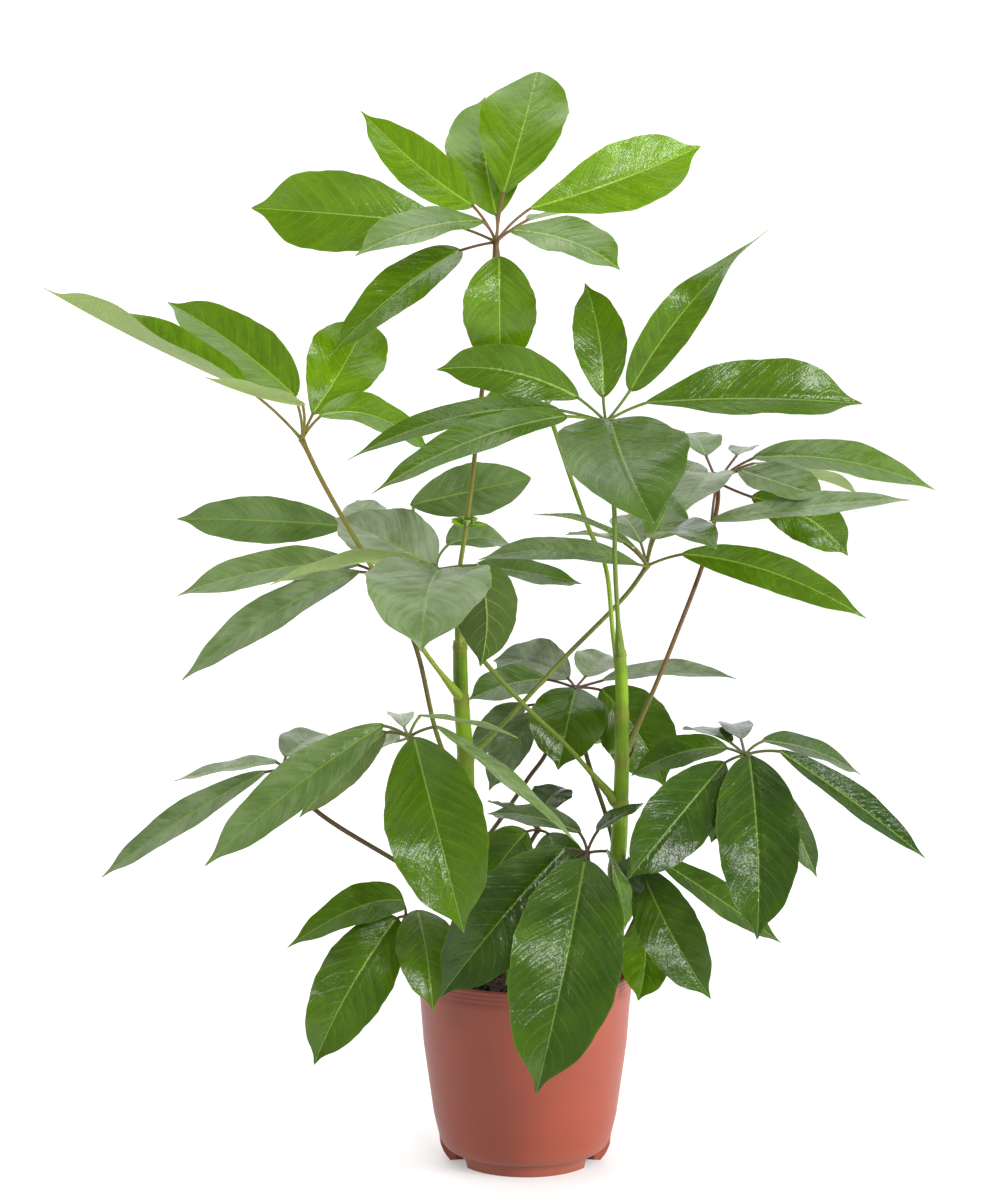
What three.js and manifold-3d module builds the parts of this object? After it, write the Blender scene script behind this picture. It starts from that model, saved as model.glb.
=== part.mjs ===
import * as THREE from 'three';
import { mergeVertices } from 'three/addons/utils/BufferGeometryUtils.js';
import Module from 'manifold-3d';

// A potted umbrella plant. Millimetres, Z up, the front towards -Y.
// The origin is the middle of the pot's underside.

const wasm = await Module();
wasm.setup();

// Pot: a thin moulded shell that tapers to a foot ring with a flat pad in its middle.
const POT_HEIGHT = 185;
const POT_RIM_RADIUS = 106;
const POT_WALL = 2.2;
const POT_SIDES = 36;
const FOOT_OUTER_RADIUS = 70;
const FOOT_INNER_RADIUS = 62;
const FOOT_HEIGHT = 7.5;
const PAD_RADIUS = 16;
const FLOOR_THICKNESS = 3;
const NOTCH_ANGLES = [66, 114, 246, 294];
const NOTCH_WIDTH = 27;
const NOTCH_DEPTH = 24;
const NOTCH_HEIGHT = 13;
const LEG_WIDTH = 32;

// Soil: a plug that fills the pot to a little below the rim.
const SOIL_HEIGHT = 166;
const SOIL_EDGE_DROP = 8;
const SOIL_ROUGHNESS = 3;
const CLEARANCE = 0.3;

// Trunks.
const TRUNK_SIDES = 12;
const TRUNK_SECTIONS = 10;
const TRUNK_ROOT_HEIGHT = 60;

// Leaf stalks, the knob where the leaflets spread out, and the leaflets.
const STALK_SIDES = 6;
const STALK_RADIUS = 2.6;
const STALK_SECTION_LENGTH = 48;
const SHEATH_RADIUS = 5.2;
const SHEATH_START = 0.75;
const KNOB_RADIUS = 6.5;
const LEAFLET_STALK_RADIUS = 2.3;
const HEXAGON_SIDE = Math.cos(Math.PI / 6);
const BLADE_THICKNESS = 1;
const MIDRIB_DEPTH = 1.2;
const FOLD = 0.2;
const WAVE = 0.035;
const WAVE_COUNT = 2.2;
const WAVE_SHIFT = 2.4;
const WAVE_SIDE_SHIFT = 1.1;
const TIP_HALF_WIDTH = 0.6;
const OUTLINE_PEAK = 0.95;
const TIP_PULL = 0.5;
const TWIST_START = 0.3;
const BLADE_STEPS = [0, 0.1, 0.28, 0.5, 0.72, 0.88, 1];

// Places on the plant are written [across, depth, height] as they show from the front.
// Across and height are read on the upright plane through the pot's axis, from an eye
// 1.8 m in front of it, and depth is how far behind that plane the point lies.
const EYE_DISTANCE = 1800;
const EYE_ACROSS = -32.5;
const EYE_HEIGHT = 555;

function place([across, depth, height]) {
  const spread = 1 + depth / EYE_DISTANCE;
  const x = EYE_ACROSS + (across - EYE_ACROSS) * spread;
  const z = EYE_HEIGHT + (height - EYE_HEIGHT) * spread;
  return new THREE.Vector3(x, depth, z);
}

// Which way the upper side of a leaflet looks.
const UP = [0, 0, 1];
const FRONT = [0, -1, 0.1];
const UP_FRONT = [0, -1, 1];
const UP_BACK = [0, 0.4, 1];
const BACK = [0, 1, 0.3];
const RIGHT = [1, -0.3, 0.5];

const trunks = {
  trunk_left: {
    route: [[-60, 0, TRUNK_ROOT_HEIGHT], [-60, 0, 170], [-59, 0, 384], [-64, 0, 464], [-65, 0, 515]],
    radii: [8.5, 8.5, 8.5, 8.4, 7],
  },
  trunk_right: {
    route: [[76, 10, TRUNK_ROOT_HEIGHT], [79, 10, 170], [94, 8, 312], [97, 4, 455], [95, 0, 505]],
    radii: [8.5, 8.5, 8.6, 7.3, 6],
  },
};

const leaves = [
  {
    name: 'leaf_top',
    trunk: 'trunk_left',
    stalk: [[-29, -10, 913], [-43, -14, 765], [-59, -40, 628], [-67, -30, 570], [-65, 0, 508]],
    leaflets: [
      { base: [-22, 12, 960], tip: [12, 70, 1083], bow: [2, -10, 0], width: 92,
        facing: [-0.25, -1, 0], peak: 1.2, pull: 0.1 },
      { base: [-28, 20, 939], tip: [-40, 112, 1058], bow: [-6, -5, 0], width: 82, facing: FRONT },
      { base: [-51, 5, 949], tip: [-165, 50, 1045], bow: [0, -5, -8], width: 52,
        facing: FRONT, peak: 0.8, pull: 0.6 },
      { base: [-68, -4, 929], tip: [-274, -10, 947], bow: [0, -8, 0], width: 84, facing: FRONT, peak: 1.4 },
      { base: [-41, -34, 934], tip: [-170, -125, 899], bow: [0, -6, 8], width: 56, facing: UP_FRONT },
      { base: [-64, -35, 905], tip: [-196, -90, 798], bow: [2, -10, 9], width: 50,
        facing: [0, -1, 0.6], peak: 0.8, pull: 0.7 },
      { base: [-26, -42, 899], tip: [-25, -24, 782], bow: [0, -14, 0], width: 72, facing: FRONT },
      { base: [-14, -42, 925], tip: [95, -110, 885], bow: [6, -8, 6], width: 62, facing: UP_FRONT },
      { base: [2, 22, 935], tip: [80, 85, 946], bow: [0, 0, 3], width: 56, facing: UP },
      { base: [3, 8, 946], tip: [176, 30, 1009], bow: [0, -8, -6], width: 72, facing: FRONT, peak: 1.35 },
    ],
  },
  {
    name: 'leaf_upper_left',
    trunk: 'trunk_left',
    stalk: [[-223, -60, 715], [-204, -74, 676], [-167, -101, 611], [-105, -62, 510], [-63, 0, 455]],
    leaflets: [
      { base: [-277, -64, 766], tip: [-483, -44, 868], bow: [0, 0, -4], width: 43,
        facing: [0, -0.45, 1], fold: 1, peak: 0.8, pull: 0.8, twist: 0.9 },
      { base: [-229, -40, 758], tip: [-358, 20, 853], bow: [3, -6, 4], width: 62,
        facing: [0.35, -1, 0.1], fold: 0.35, peak: 0.75 },
      { base: [-220, -95, 750], tip: [-320, -160, 778], bow: [0, 0, -4], width: 36, facing: UP, fold: 0.4 },
      { base: [-213, -45, 740], tip: [-156, 10, 838], bow: [4, -8, 0], width: 76,
        facing: FRONT, peak: 1.15 },
      { base: [-206, -72, 739], tip: [-94, -20, 702], bow: [0, -5, 17], width: 54, facing: UP_FRONT },
    ],
  },
  {
    name: 'leaf_left',
    trunk: 'trunk_left',
    stalk: [[-141, -40, 577], [-110, -35, 510], [-88, -20, 420], [-60, 0, 350]],
    leaflets: [
      { base: [-180, 5, 629], tip: [-349, 30, 636], bow: [0, -4, 2], width: 48, facing: FRONT },
      { base: [-165, -45, 590], tip: [-348, -40, 559], bow: [0, -4, 10], width: 50, facing: UP_FRONT },
      { base: [-165, -60, 584], tip: [-344, -90, 474], bow: [0, -6, 10], width: 46, facing: UP_FRONT },
      { base: [-150, 15, 612], tip: [-168, 110, 655], bow: [0, 0, 4], width: 46, facing: UP_FRONT },
    ],
  },
  {
    name: 'leaf_middle_left',
    trunk: 'trunk_right',
    stalk: [[-88, -90, 585], [-59, -52, 518], [-1, -30, 450], [40, -12, 411], [94, 8, 350]],
    leaflets: [
      { base: [-92, -82, 589], tip: [-190, -28, 637], bow: [0, -4, 3], width: 80,
        facing: UP_FRONT, peak: 0.75 },
      { base: [-104, -105, 594], tip: [-255, -170, 570], bow: [0, 0, 9], width: 40, facing: UP_BACK },
      { base: [-85, -108, 586], tip: [-104, -235, 503], bow: [-2, -25, 12], width: 112,
        facing: UP_FRONT, fold: 0.3, peak: 0.9, pull: 0.6 },
      { base: [-48, -85, 592], tip: [-45, -60, 488], bow: [8, 0, 0], width: 60, facing: BACK, peak: 0.75 },
      { base: [-50, -24, 589], tip: [57, 50, 571], bow: [0, 0, 2], width: 40, facing: UP_FRONT },
      { base: [-78, -10, 610], tip: [-12, 55, 608], bow: [0, 0, 8], width: 48, facing: UP_FRONT },
      { base: [-115, 30, 650], tip: [6, 100, 677], bow: [0, -5, 0], width: 56,
        facing: FRONT, fold: 0.2, peak: 1, pull: 0.1 },
    ],
  },
  {
    name: 'leaf_upper_right',
    trunk: 'trunk_right',
    stalk: [[81, -60, 733], [89, -54, 648], [90, -40, 590], [95, 0, 500]],
    leaflets: [
      { base: [78, -50, 757], tip: [60, -20, 872], bow: [5, -6, 0], width: 52, facing: FRONT },
      { base: [105, -50, 764], tip: [243, -60, 925], bow: [-9, -4, 6], width: 43,
        facing: FRONT, peak: 0.7, pull: 0.8, twist: -1.4 },
      { base: [119, -62, 752], tip: [338, -80, 751], bow: [-3, -5, 4], width: 78,
        facing: [0, -1, 0.8], fold: 0.45, peak: 1.25 },
      { base: [54, -60, 757], tip: [-89, -60, 785], bow: [0, -4, 12], width: 50, facing: FRONT },
      { base: [35, -78, 745], tip: [-179, -115, 694], bow: [0, -6, 16], width: 36,
        facing: UP_FRONT, peak: 0.8, pull: 0.7 },
      { base: [42, -92, 739], tip: [-155, -165, 660], bow: [0, -6, 12], width: 44,
        facing: UP_FRONT, peak: 0.75, pull: 0.7 },
      { base: [86, -90, 735], tip: [129, -225, 632], bow: [-8, -26, 3], width: 116,
        facing: [0, -1, 0.8], fold: 0.3, peak: 0.9, pull: 0.25 },
    ],
  },
  {
    name: 'leaf_right',
    trunk: 'trunk_right',
    stalk: [[192, 60, 673], [193, 56, 656], [181, 45, 601], [149, 25, 515], [122, 14, 450], [96, 6, 395]],
    leaflets: [
      { base: [181, 95, 699], tip: [165, 190, 722], bow: [0, 0, 4], width: 50, facing: UP },
      { base: [190, 20, 682], tip: [160, -90, 643], bow: [0, -10, 8], width: 62, facing: UP },
      { base: [172, 58, 692], tip: [140, -10, 650], bow: [0, -6, 6], width: 46, facing: UP_FRONT },
      { base: [227, 60, 697], tip: [410, 60, 665], bow: [0, -4, 13], width: 54, facing: UP_FRONT },
      { base: [228, 95, 692], tip: [335, 165, 660], bow: [0, 0, 6], width: 46, facing: UP },
      { base: [214, 36, 685], tip: [301, -30, 656], bow: [0, -4, 0], width: 54, facing: UP_FRONT },
      { base: [184, 0, 634], tip: [386, -60, 655], bow: [0, -4, 4], width: 34, facing: UP_FRONT },
      { base: [226, 50, 658], tip: [323, 40, 599], bow: [8, -4, 8], width: 54, facing: FRONT },
      { base: [212, 110, 700], tip: [225, 190, 708], bow: [0, 0, 2], width: 32, facing: UP },
    ],
  },
  {
    name: 'leaf_middle_right',
    trunk: 'trunk_left',
    stalk: [[122, 20, 589], [105, 32, 565], [86, 34, 544], [40, 16, 498], [-32, 2, 421], [-59, 0, 396]],
    leaflets: [
      { base: [112, -2, 606], tip: [8, -30, 640], bow: [0, 0, 10], width: 30, facing: UP },
      { base: [100, 55, 612], tip: [40, 95, 620], bow: [0, 0, 4], width: 34, facing: UP },
      { base: [129, 0, 617], tip: [191, -150, 606], bow: [0, 0, 12], width: 52,
        facing: UP_FRONT, peak: 0.8, pull: 0.2 },
      { base: [156, 8, 601], tip: [342, -60, 536], bow: [0, -4, 13], width: 38, facing: FRONT },
      { base: [114, 0, 590], tip: [-47, -34, 595], bow: [0, 0, 12], width: 34, facing: UP_FRONT },
      { base: [126, 45, 616], tip: [150, 105, 662], bow: [0, -4, 0], width: 50, facing: FRONT },
      { base: [116, 40, 612], tip: [96, 115, 640], bow: [0, 0, 4], width: 44, facing: UP_FRONT },
    ],
  },
  {
    name: 'leaf_middle_back',
    trunk: 'trunk_right',
    stalk: [[50, 80, 467], [60, 62, 405], [82, 30, 336], [94, 8, 290]],
    leaflets: [
      { base: [44, 92, 476], tip: [-32, 150, 494], bow: [0, 0, 8], width: 64, facing: UP_FRONT },
      { base: [22, 80, 476], tip: [-57, 50, 455], bow: [0, 0, 5], width: 46, facing: UP_FRONT },
      { base: [51, 68, 467], tip: [33, 10, 385], bow: [0, -10, 6], width: 78, facing: UP_FRONT },
      { base: [76, 90, 474], tip: [212, 100, 476], bow: [0, 0, 10], width: 36, facing: [0, -0.5, 1] },
      { base: [60, 110, 478], tip: [85, 190, 500], bow: [0, 0, 4], width: 50, facing: UP_FRONT },
      { base: [76, 84, 466], tip: [140, 60, 368], bow: [4, -4, 6], width: 76, facing: FRONT },
    ],
  },
  {
    name: 'leaf_inner_back',
    trunk: 'trunk_left',
    stalk: [[20, 140, 450], [23, 120, 408], [2, 90, 375], [-23, 58, 338], [-59, 0, 290]],
    leaflets: [
      { base: [11, 135, 443], tip: [-36, 110, 364], bow: [-2, -6, 4], width: 42, facing: UP_FRONT },
      { base: [2, 145, 450], tip: [-53, 150, 395], bow: [-2, -2, 6], width: 40, facing: UP_FRONT },
      { base: [28, 158, 452], tip: [44, 240, 420], bow: [0, 0, 8], width: 46, facing: UP },
      { base: [34, 146, 446], tip: [80, 180, 410], bow: [0, 0, 6], width: 46, facing: UP_FRONT },
    ],
  },
  {
    name: 'leaf_lower_left_front',
    trunk: 'trunk_left',
    stalk: [[-116, -110, 418], [-104, -85, 365], [-60, 0, 290]],
    leaflets: [
      { base: [-111, -120, 418], tip: [-61, -205, 222], bow: [0, -22, 4], width: 90, facing: FRONT },
      { base: [-90, -115, 430], tip: [54, -180, 310], bow: [0, -6, 4], width: 36, facing: UP },
      { base: [-107, -100, 440], tip: [-7, -60, 417], bow: [0, -4, 4], width: 30, facing: UP },
      { base: [-141, -116, 431], tip: [-321, -155, 288], bow: [0, -6, 7], width: 50, facing: [0, -1, 0.6] },
      { base: [-139, -98, 424], tip: [-226, -75, 337], bow: [0, 6, 4], width: 36, facing: BACK },
      { base: [-121, -80, 428], tip: [-128, 40, 439], bow: [0, 0, 6], width: 26, facing: UP },
      { base: [-126, -85, 414], tip: [-166, -25, 395], bow: [0, 0, 4], width: 36, facing: UP_FRONT },
    ],
  },
  {
    name: 'leaf_lower_left',
    trunk: 'trunk_left',
    stalk: [[-240, -60, 384], [-213, -64, 348], [-121, -46, 289], [-60, 0, 250]],
    leaflets: [
      { base: [-258, -62, 384], tip: [-424, -60, 277], bow: [-2, -4, 5], width: 36, facing: UP_FRONT },
      { base: [-247, -40, 393], tip: [-351, 20, 374], bow: [0, 0, 2], width: 40, facing: [0, -0.35, 1] },
      { base: [-240, -30, 398], tip: [-198, 80, 421], bow: [0, 0, 4], width: 48, facing: UP_FRONT },
      { base: [-226, -42, 396], tip: [-170, 50, 408], bow: [0, 0, 4], width: 40, facing: UP },
    ],
  },
  {
    name: 'leaf_low_left',
    trunk: 'trunk_left',
    stalk: [[-119, -60, 238], [-92, -36, 226], [-60, 0, 205]],
    leaflets: [
      { base: [-121, -66, 254], tip: [-238, -100, 207], bow: [9, -6, 16], width: 46,
        facing: UP_FRONT, peak: 0.68 },
      { base: [-128, -78, 238], tip: [-211, -130, 90], bow: [-7, -12, 0], width: 69,
        facing: FRONT, peak: 0.78 },
      { base: [-108, -78, 245], tip: [-92, -150, 144], bow: [2, -12, 9], width: 56, facing: UP_FRONT },
    ],
  },
  {
    name: 'leaf_front',
    trunk: 'trunk_right',
    stalk: [[62, -120, 302], [66, -75, 275], [82, 10, 215]],
    leaflets: [
      { base: [56, -100, 322], tip: [-38, -40, 341], bow: [0, 0, 6], width: 38, facing: [0, -0.5, 1] },
      { base: [72, -100, 324], tip: [119, -40, 352], bow: [0, 0, 2], width: 26, facing: UP },
      { base: [42, -122, 308], tip: [-86, -160, 157], bow: [-2, -8, 4], width: 76, facing: FRONT },
      { base: [60, -137, 296], tip: [11, -225, 61], bow: [0, -22, 0], width: 100,
        facing: FRONT, peak: 0.8 },
      { base: [82, -120, 306], tip: [100, -160, 225], bow: [3, -6, 0], width: 40, facing: RIGHT },
      { base: [50, -110, 298], tip: [-20, -140, 170], bow: [0, -6, 0], width: 52, facing: FRONT },
    ],
  },
  {
    name: 'leaf_low_back',
    trunk: 'trunk_left',
    stalk: [[13, 34, 325], [-15, 24, 280], [-60, 0, 225]],
    leaflets: [
      { base: [2, 32, 336], tip: [-38, 8, 354], bow: [0, 0, 2], width: 38, facing: UP },
      { base: [16, 50, 342], tip: [38, 105, 368], bow: [0, 0, 4], width: 42, facing: [0, -0.6, 1] },
      { base: [2, 24, 324], tip: [-38, -26, 270], bow: [-2, -6, 2], width: 52, facing: FRONT },
      { base: [24, 26, 322], tip: [40, -34, 250], bow: [2, -8, 2], width: 56, facing: FRONT },
    ],
  },
  {
    name: 'leaf_lower_right',
    trunk: 'trunk_right',
    stalk: [[220, -60, 400], [195, -48, 360], [150, -28, 325], [92, 9, 285]],
    leaflets: [
      { base: [224, -72, 399], tip: [232, -150, 215], bow: [2, -16, 0], width: 78,
        facing: FRONT, peak: 0.8 },
      { base: [200, -76, 393], tip: [103, -140, 276], bow: [-3, -12, 0], width: 64, facing: FRONT },
      { base: [203, -62, 407], tip: [106, -50, 379], bow: [0, -3, 9], width: 38, facing: UP_FRONT },
      { base: [206, -10, 412], tip: [158, 90, 425], bow: [0, 0, 5], width: 36, facing: UP },
      { base: [216, -20, 416], tip: [205, 110, 430], bow: [0, 0, 6], width: 36, facing: UP },
      { base: [237, -30, 414], tip: [336, 70, 380], bow: [0, 0, 8], width: 36, facing: UP_FRONT },
      { base: [253, -62, 405], tip: [401, -75, 296], bow: [2, -3, 2], width: 33,
        facing: [0.3, -1, 0.7], fold: 0.35 },
      { base: [236, -40, 394], tip: [292, 10, 277], bow: [2, 0, 0], width: 28, facing: FRONT, peak: 1.3 },
      { base: [212, -50, 388], tip: [186, -20, 312], bow: [0, 0, 0], width: 42, facing: FRONT },
    ],
  },
  {
    name: 'leaf_low_right',
    trunk: 'trunk_right',
    stalk: [[112, -55, 288], [100, -30, 258], [84, 10, 225]],
    leaflets: [
      { base: [115, -72, 290], tip: [186, -130, 156], bow: [-5, -12, 0], width: 58, facing: FRONT },
      { base: [132, -50, 296], tip: [256, -20, 212], bow: [0, -3, 2], width: 38, facing: UP_FRONT },
      { base: [104, -64, 296], tip: [100, -100, 250], bow: [0, -4, 0], width: 34, facing: FRONT },
    ],
  },
  {
    name: 'leaf_lowest_right',
    trunk: 'trunk_right',
    stalk: [[112, 20, 240], [98, 18, 212], [80, 10, 182]],
    leaflets: [
      { base: [119, -6, 237], tip: [113, -62, 154], bow: [3, -8, 0], width: 50, facing: FRONT },
      { base: [118, 34, 246], tip: [140, 70, 228], bow: [0, 0, 6], width: 40, facing: UP },
      { base: [108, 30, 248], tip: [98, 60, 252], bow: [0, 0, 3], width: 30, facing: UP },
    ],
  },
  {
    name: 'leaf_young',
    trunk: 'trunk_right',
    stalk: [[22, 0, 750], [28, 4, 730], [64, 20, 626], [80, 18, 590], [88, 14, 520], [97, 4, 440]],
    leaflets: [
      { base: [8, 4, 756], tip: [-42, 10, 757], bow: [0, 0, 2], width: 20, facing: FRONT },
      { base: [18, 14, 762], tip: [4, 50, 772], bow: [0, 0, 2], width: 18, facing: UP_FRONT },
      { base: [32, 8, 762], tip: [46, 40, 768], bow: [0, 0, 2], width: 18, facing: UP_FRONT },
    ],
  },
];

// A closed mesh as a solid that can be joined and cut.
function toSolid(geometry) {
  const bare = geometry.clone();
  bare.deleteAttribute('normal');
  bare.deleteAttribute('uv');
  const merged = mergeVertices(bare, 1e-4);
  const vertProperties = new Float32Array(merged.attributes.position.array);
  const triVerts = new Uint32Array(merged.index.array);
  return new wasm.Manifold(new wasm.Mesh({ numProp: 3, vertProperties, triVerts }));
}

function toMesh(name, solid, color, roughness) {
  const { vertProperties, triVerts } = solid.getMesh();
  const geometry = new THREE.BufferGeometry();
  geometry.setAttribute('position', new THREE.BufferAttribute(new Float32Array(vertProperties), 3));
  geometry.setIndex(new THREE.BufferAttribute(new Uint32Array(triVerts), 1));
  geometry.computeVertexNormals();
  const material = new THREE.MeshStandardMaterial({ color, roughness, metalness: 0 });
  const mesh = new THREE.Mesh(geometry, material);
  mesh.name = name;
  return mesh;
}

// A closed skin through rings of the same number of points, with a flat cap at each end.
// Strips from firstTurned on take the other diagonal, so that both faces of a blade match.
function loft(rings, firstTurned = Infinity) {
  const sides = rings[0].length;
  const positions = rings.flat().flatMap((point) => point.toArray());
  const index = [];
  for (let i = 0; i < rings.length - 1; i += 1) {
    for (let j = 0; j < sides; j += 1) {
      const a = i * sides + j;
      const b = i * sides + (j + 1) % sides;
      const c = b + sides;
      const d = a + sides;
      if (j >= firstTurned && j < sides - 1) {
        index.push(a, b, d, b, c, d);
      } else {
        index.push(a, b, c, a, c, d);
      }
    }
  }
  const last = (rings.length - 1) * sides;
  for (let j = 1; j < sides - 1; j += 1) {
    index.push(0, j + 1, j);
    index.push(last, last + j, last + j + 1);
  }
  const geometry = new THREE.BufferGeometry();
  geometry.setAttribute('position', new THREE.Float32BufferAttribute(positions, 3));
  geometry.setIndex(index);
  return geometry;
}

// A round tube along a curve, with its radius given along the way from 0 to 1.
function tube(curve, sections, sides, radiusAt) {
  const frames = curve.computeFrenetFrames(sections, false);
  const rings = [];
  for (let i = 0; i <= sections; i += 1) {
    const along = i / sections;
    const centre = curve.getPointAt(along);
    const radius = radiusAt(along);
    const ring = [];
    for (let j = 0; j < sides; j += 1) {
      const angle = (2 * Math.PI * j) / sides;
      const point = centre.clone();
      point.addScaledVector(frames.normals[i], radius * Math.cos(angle));
      point.addScaledVector(frames.binormals[i], radius * Math.sin(angle));
      ring.push(point);
    }
    rings.push(ring);
  }
  return loft(rings);
}

function mixAlong(values, along) {
  const spot = along * (values.length - 1);
  const index = Math.min(Math.floor(spot), values.length - 2);
  return THREE.MathUtils.lerp(values[index], values[index + 1], spot - index);
}

function trunkSolid({ route, radii }, extra = 0) {
  const curve = new THREE.CatmullRomCurve3(route.map(place));
  const radiusAt = (along) => mixAlong(radii, along) + extra;
  return toSolid(tube(curve, TRUNK_SECTIONS, TRUNK_SIDES, radiusAt));
}

// Half-width along a blade as a share of its widest: round at the base and drawn out to a point.
// With a lower peak the widest part is nearer the base, and with more pull the tip is thinner.
function outline(along, peak, pull) {
  const oval = Math.sin(Math.PI * along ** peak) ** 0.72;
  const drawnOut = 1 - pull * THREE.MathUtils.smoothstep(along, 0.8, 1);
  return oval * drawnOut;
}

// Six points round a leaflet: three across its upper side and three back across its underside.
function leafletRing(centre, tangent, facing, halfWidth, lifts, topDepth, underDepth, edgeDepth) {
  const normal = facing.clone().addScaledVector(tangent, -facing.dot(tangent)).normalize();
  const side = new THREE.Vector3().crossVectors(tangent, normal);
  const at = (across, height) => centre.clone().addScaledVector(side, across).addScaledVector(normal, height);
  return [
    at(-halfWidth, lifts[0] + edgeDepth),
    at(0, topDepth),
    at(halfWidth, lifts[1] + edgeDepth),
    at(halfWidth, lifts[1] - edgeDepth),
    at(0, -underDepth),
    at(-halfWidth, lifts[0] - edgeDepth),
  ];
}

// One leaflet: a thin stalk from the knob, then a blade that leaves along the stalk and bends to
// its tip. The blade is folded a little along its midrib and waved along both edges, and some
// blades are twisted more and more towards the tip, by an angle in radians.
function leafletSolid(hub, leaflet, number) {
  const { base, tip, bow, width, facing } = leaflet;
  const { fold = FOLD, peak = OUTLINE_PEAK, pull = TIP_PULL, twist = 0 } = leaflet;
  const start = place(base);
  const end = place(tip);
  const direction = start.clone().sub(hub).normalize();
  const elbow = start.clone().lerp(end, 0.5).addScaledVector(new THREE.Vector3(...bow), 2);
  const curve = new THREE.QuadraticBezierCurve3(start, elbow, end);
  const upper = new THREE.Vector3(...facing).normalize();
  const stalk = LEAFLET_STALK_RADIUS;
  const stalkRing = (centre) =>
    leafletRing(centre, direction, upper, HEXAGON_SIDE * stalk, [0, 0], stalk, stalk, 0.5 * stalk);
  const rings = [stalkRing(hub)];
  BLADE_STEPS.forEach((along) => {
    const tangent = curve.getTangent(along);
    const turn = twist * THREE.MathUtils.smoothstep(along, TWIST_START, 1);
    const turned = upper.clone().addScaledVector(tangent, -upper.dot(tangent)).applyAxisAngle(tangent, turn);
    const least = along < 0.5 ? stalk : TIP_HALF_WIDTH;
    const halfWidth = Math.max(0.5 * width * outline(along, peak, pull), least);
    const lifts = [-1, 1].map((side) => {
      const phase = WAVE_SHIFT * number + WAVE_SIDE_SHIFT * side;
      const wave = Math.sin(2 * Math.PI * WAVE_COUNT * along + phase);
      return halfWidth * (fold + 2 * WAVE * wave);
    });
    if (along === 0) {
      rings.push(stalkRing(start));
      return;
    }
    const half = 0.5 * BLADE_THICKNESS;
    const rib = MIDRIB_DEPTH * (1 - along);
    rings.push(leafletRing(curve.getPoint(along), tangent, turned, halfWidth, lifts, half, half + rib, half));
  });
  return toSolid(loft(rings, 3));
}

// One compound leaf: its stalk, the knob at the end of it and the leaflets, joined as one body and
// cut clear of the trunk that it grows from.
function leafSolid({ trunk, stalk, leaflets }) {
  const route = stalk.map(place);
  const hub = route[0];
  const curve = new THREE.CatmullRomCurve3(route);
  const sections = Math.max(3, Math.round(curve.getLength() / STALK_SECTION_LENGTH));
  const radiusAt = (along) => {
    const flare = THREE.MathUtils.smoothstep(along, SHEATH_START, 1);
    return THREE.MathUtils.lerp(STALK_RADIUS, SHEATH_RADIUS, flare);
  };
  let solid = toSolid(tube(curve, sections, STALK_SIDES, radiusAt));
  const knob = new THREE.OctahedronGeometry(KNOB_RADIUS);
  knob.translate(hub.x, hub.y, hub.z);
  solid = solid.add(toSolid(knob));
  leaflets.forEach((leaflet, number) => {
    solid = solid.add(leafletSolid(hub, leaflet, number));
  });
  return solid.subtract(trunkSolid(trunks[trunk], CLEARANCE));
}

// The pot's outside, from the foot up: [radius, height].
const potOutside = [
  [FOOT_OUTER_RADIUS, 0],
  [FOOT_OUTER_RADIUS + 2, 8.5],
  [FOOT_OUTER_RADIUS + 5, 11],
  [81, 14],
  [85, 20],
  [91.2, 45],
  [101.4, 115],
  [105, 160],
  [POT_RIM_RADIUS, 166],
  [POT_RIM_RADIUS, POT_HEIGHT],
];

// The outside of the leg at each side of the pot, between two notches: [radius, height].
const legOutside = [
  [76, 0],
  [80, 5],
  [82.5, 9],
  [85, 15],
  [86, 24],
];

// Radius of the pot's cavity at a height, a wall's thickness inside the outer profile.
function cavityRadius(height) {
  const upper = potOutside.findIndex(([, z]) => z > height);
  const [r0, z0] = potOutside[upper - 1];
  const [r1, z1] = potOutside[upper];
  return THREE.MathUtils.mapLinear(height, z0, z1, r0, r1) - POT_WALL;
}

function lathe(profile) {
  const points = profile.map(([r, z]) => new THREE.Vector2(r, z));
  const geometry = new THREE.LatheGeometry(points, POT_SIDES);
  geometry.rotateX(Math.PI / 2);
  return toSolid(geometry);
}

function potSolid() {
  const floorTop = FOOT_HEIGHT + FLOOR_THICKNESS;
  const inside = [[0, floorTop]];
  [floorTop, 14, 20, 45, 115, 160, 166].forEach((z) => inside.push([cavityRadius(z), z]));
  inside.push([POT_RIM_RADIUS - POT_WALL, POT_HEIGHT]);
  const underside = [
    [0, 0],
    [PAD_RADIUS, 0],
    [PAD_RADIUS + 1, FOOT_HEIGHT],
    [FOOT_INNER_RADIUS, FOOT_HEIGHT],
    [FOOT_INNER_RADIUS + 1, 0],
  ];
  let pot = lathe([...underside, ...potOutside, ...inside.reverse()]);
  NOTCH_ANGLES.forEach((angle) => {
    const notch = new THREE.BoxGeometry(NOTCH_WIDTH, NOTCH_DEPTH, NOTCH_HEIGHT);
    notch.translate(0, -FOOT_INNER_RADIUS - NOTCH_DEPTH / 2, NOTCH_HEIGHT / 2 - 0.01);
    notch.rotateZ(THREE.MathUtils.degToRad(angle));
    pot = pot.subtract(toSolid(notch));
  });
  return pot.add(legsSolid());
}

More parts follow.
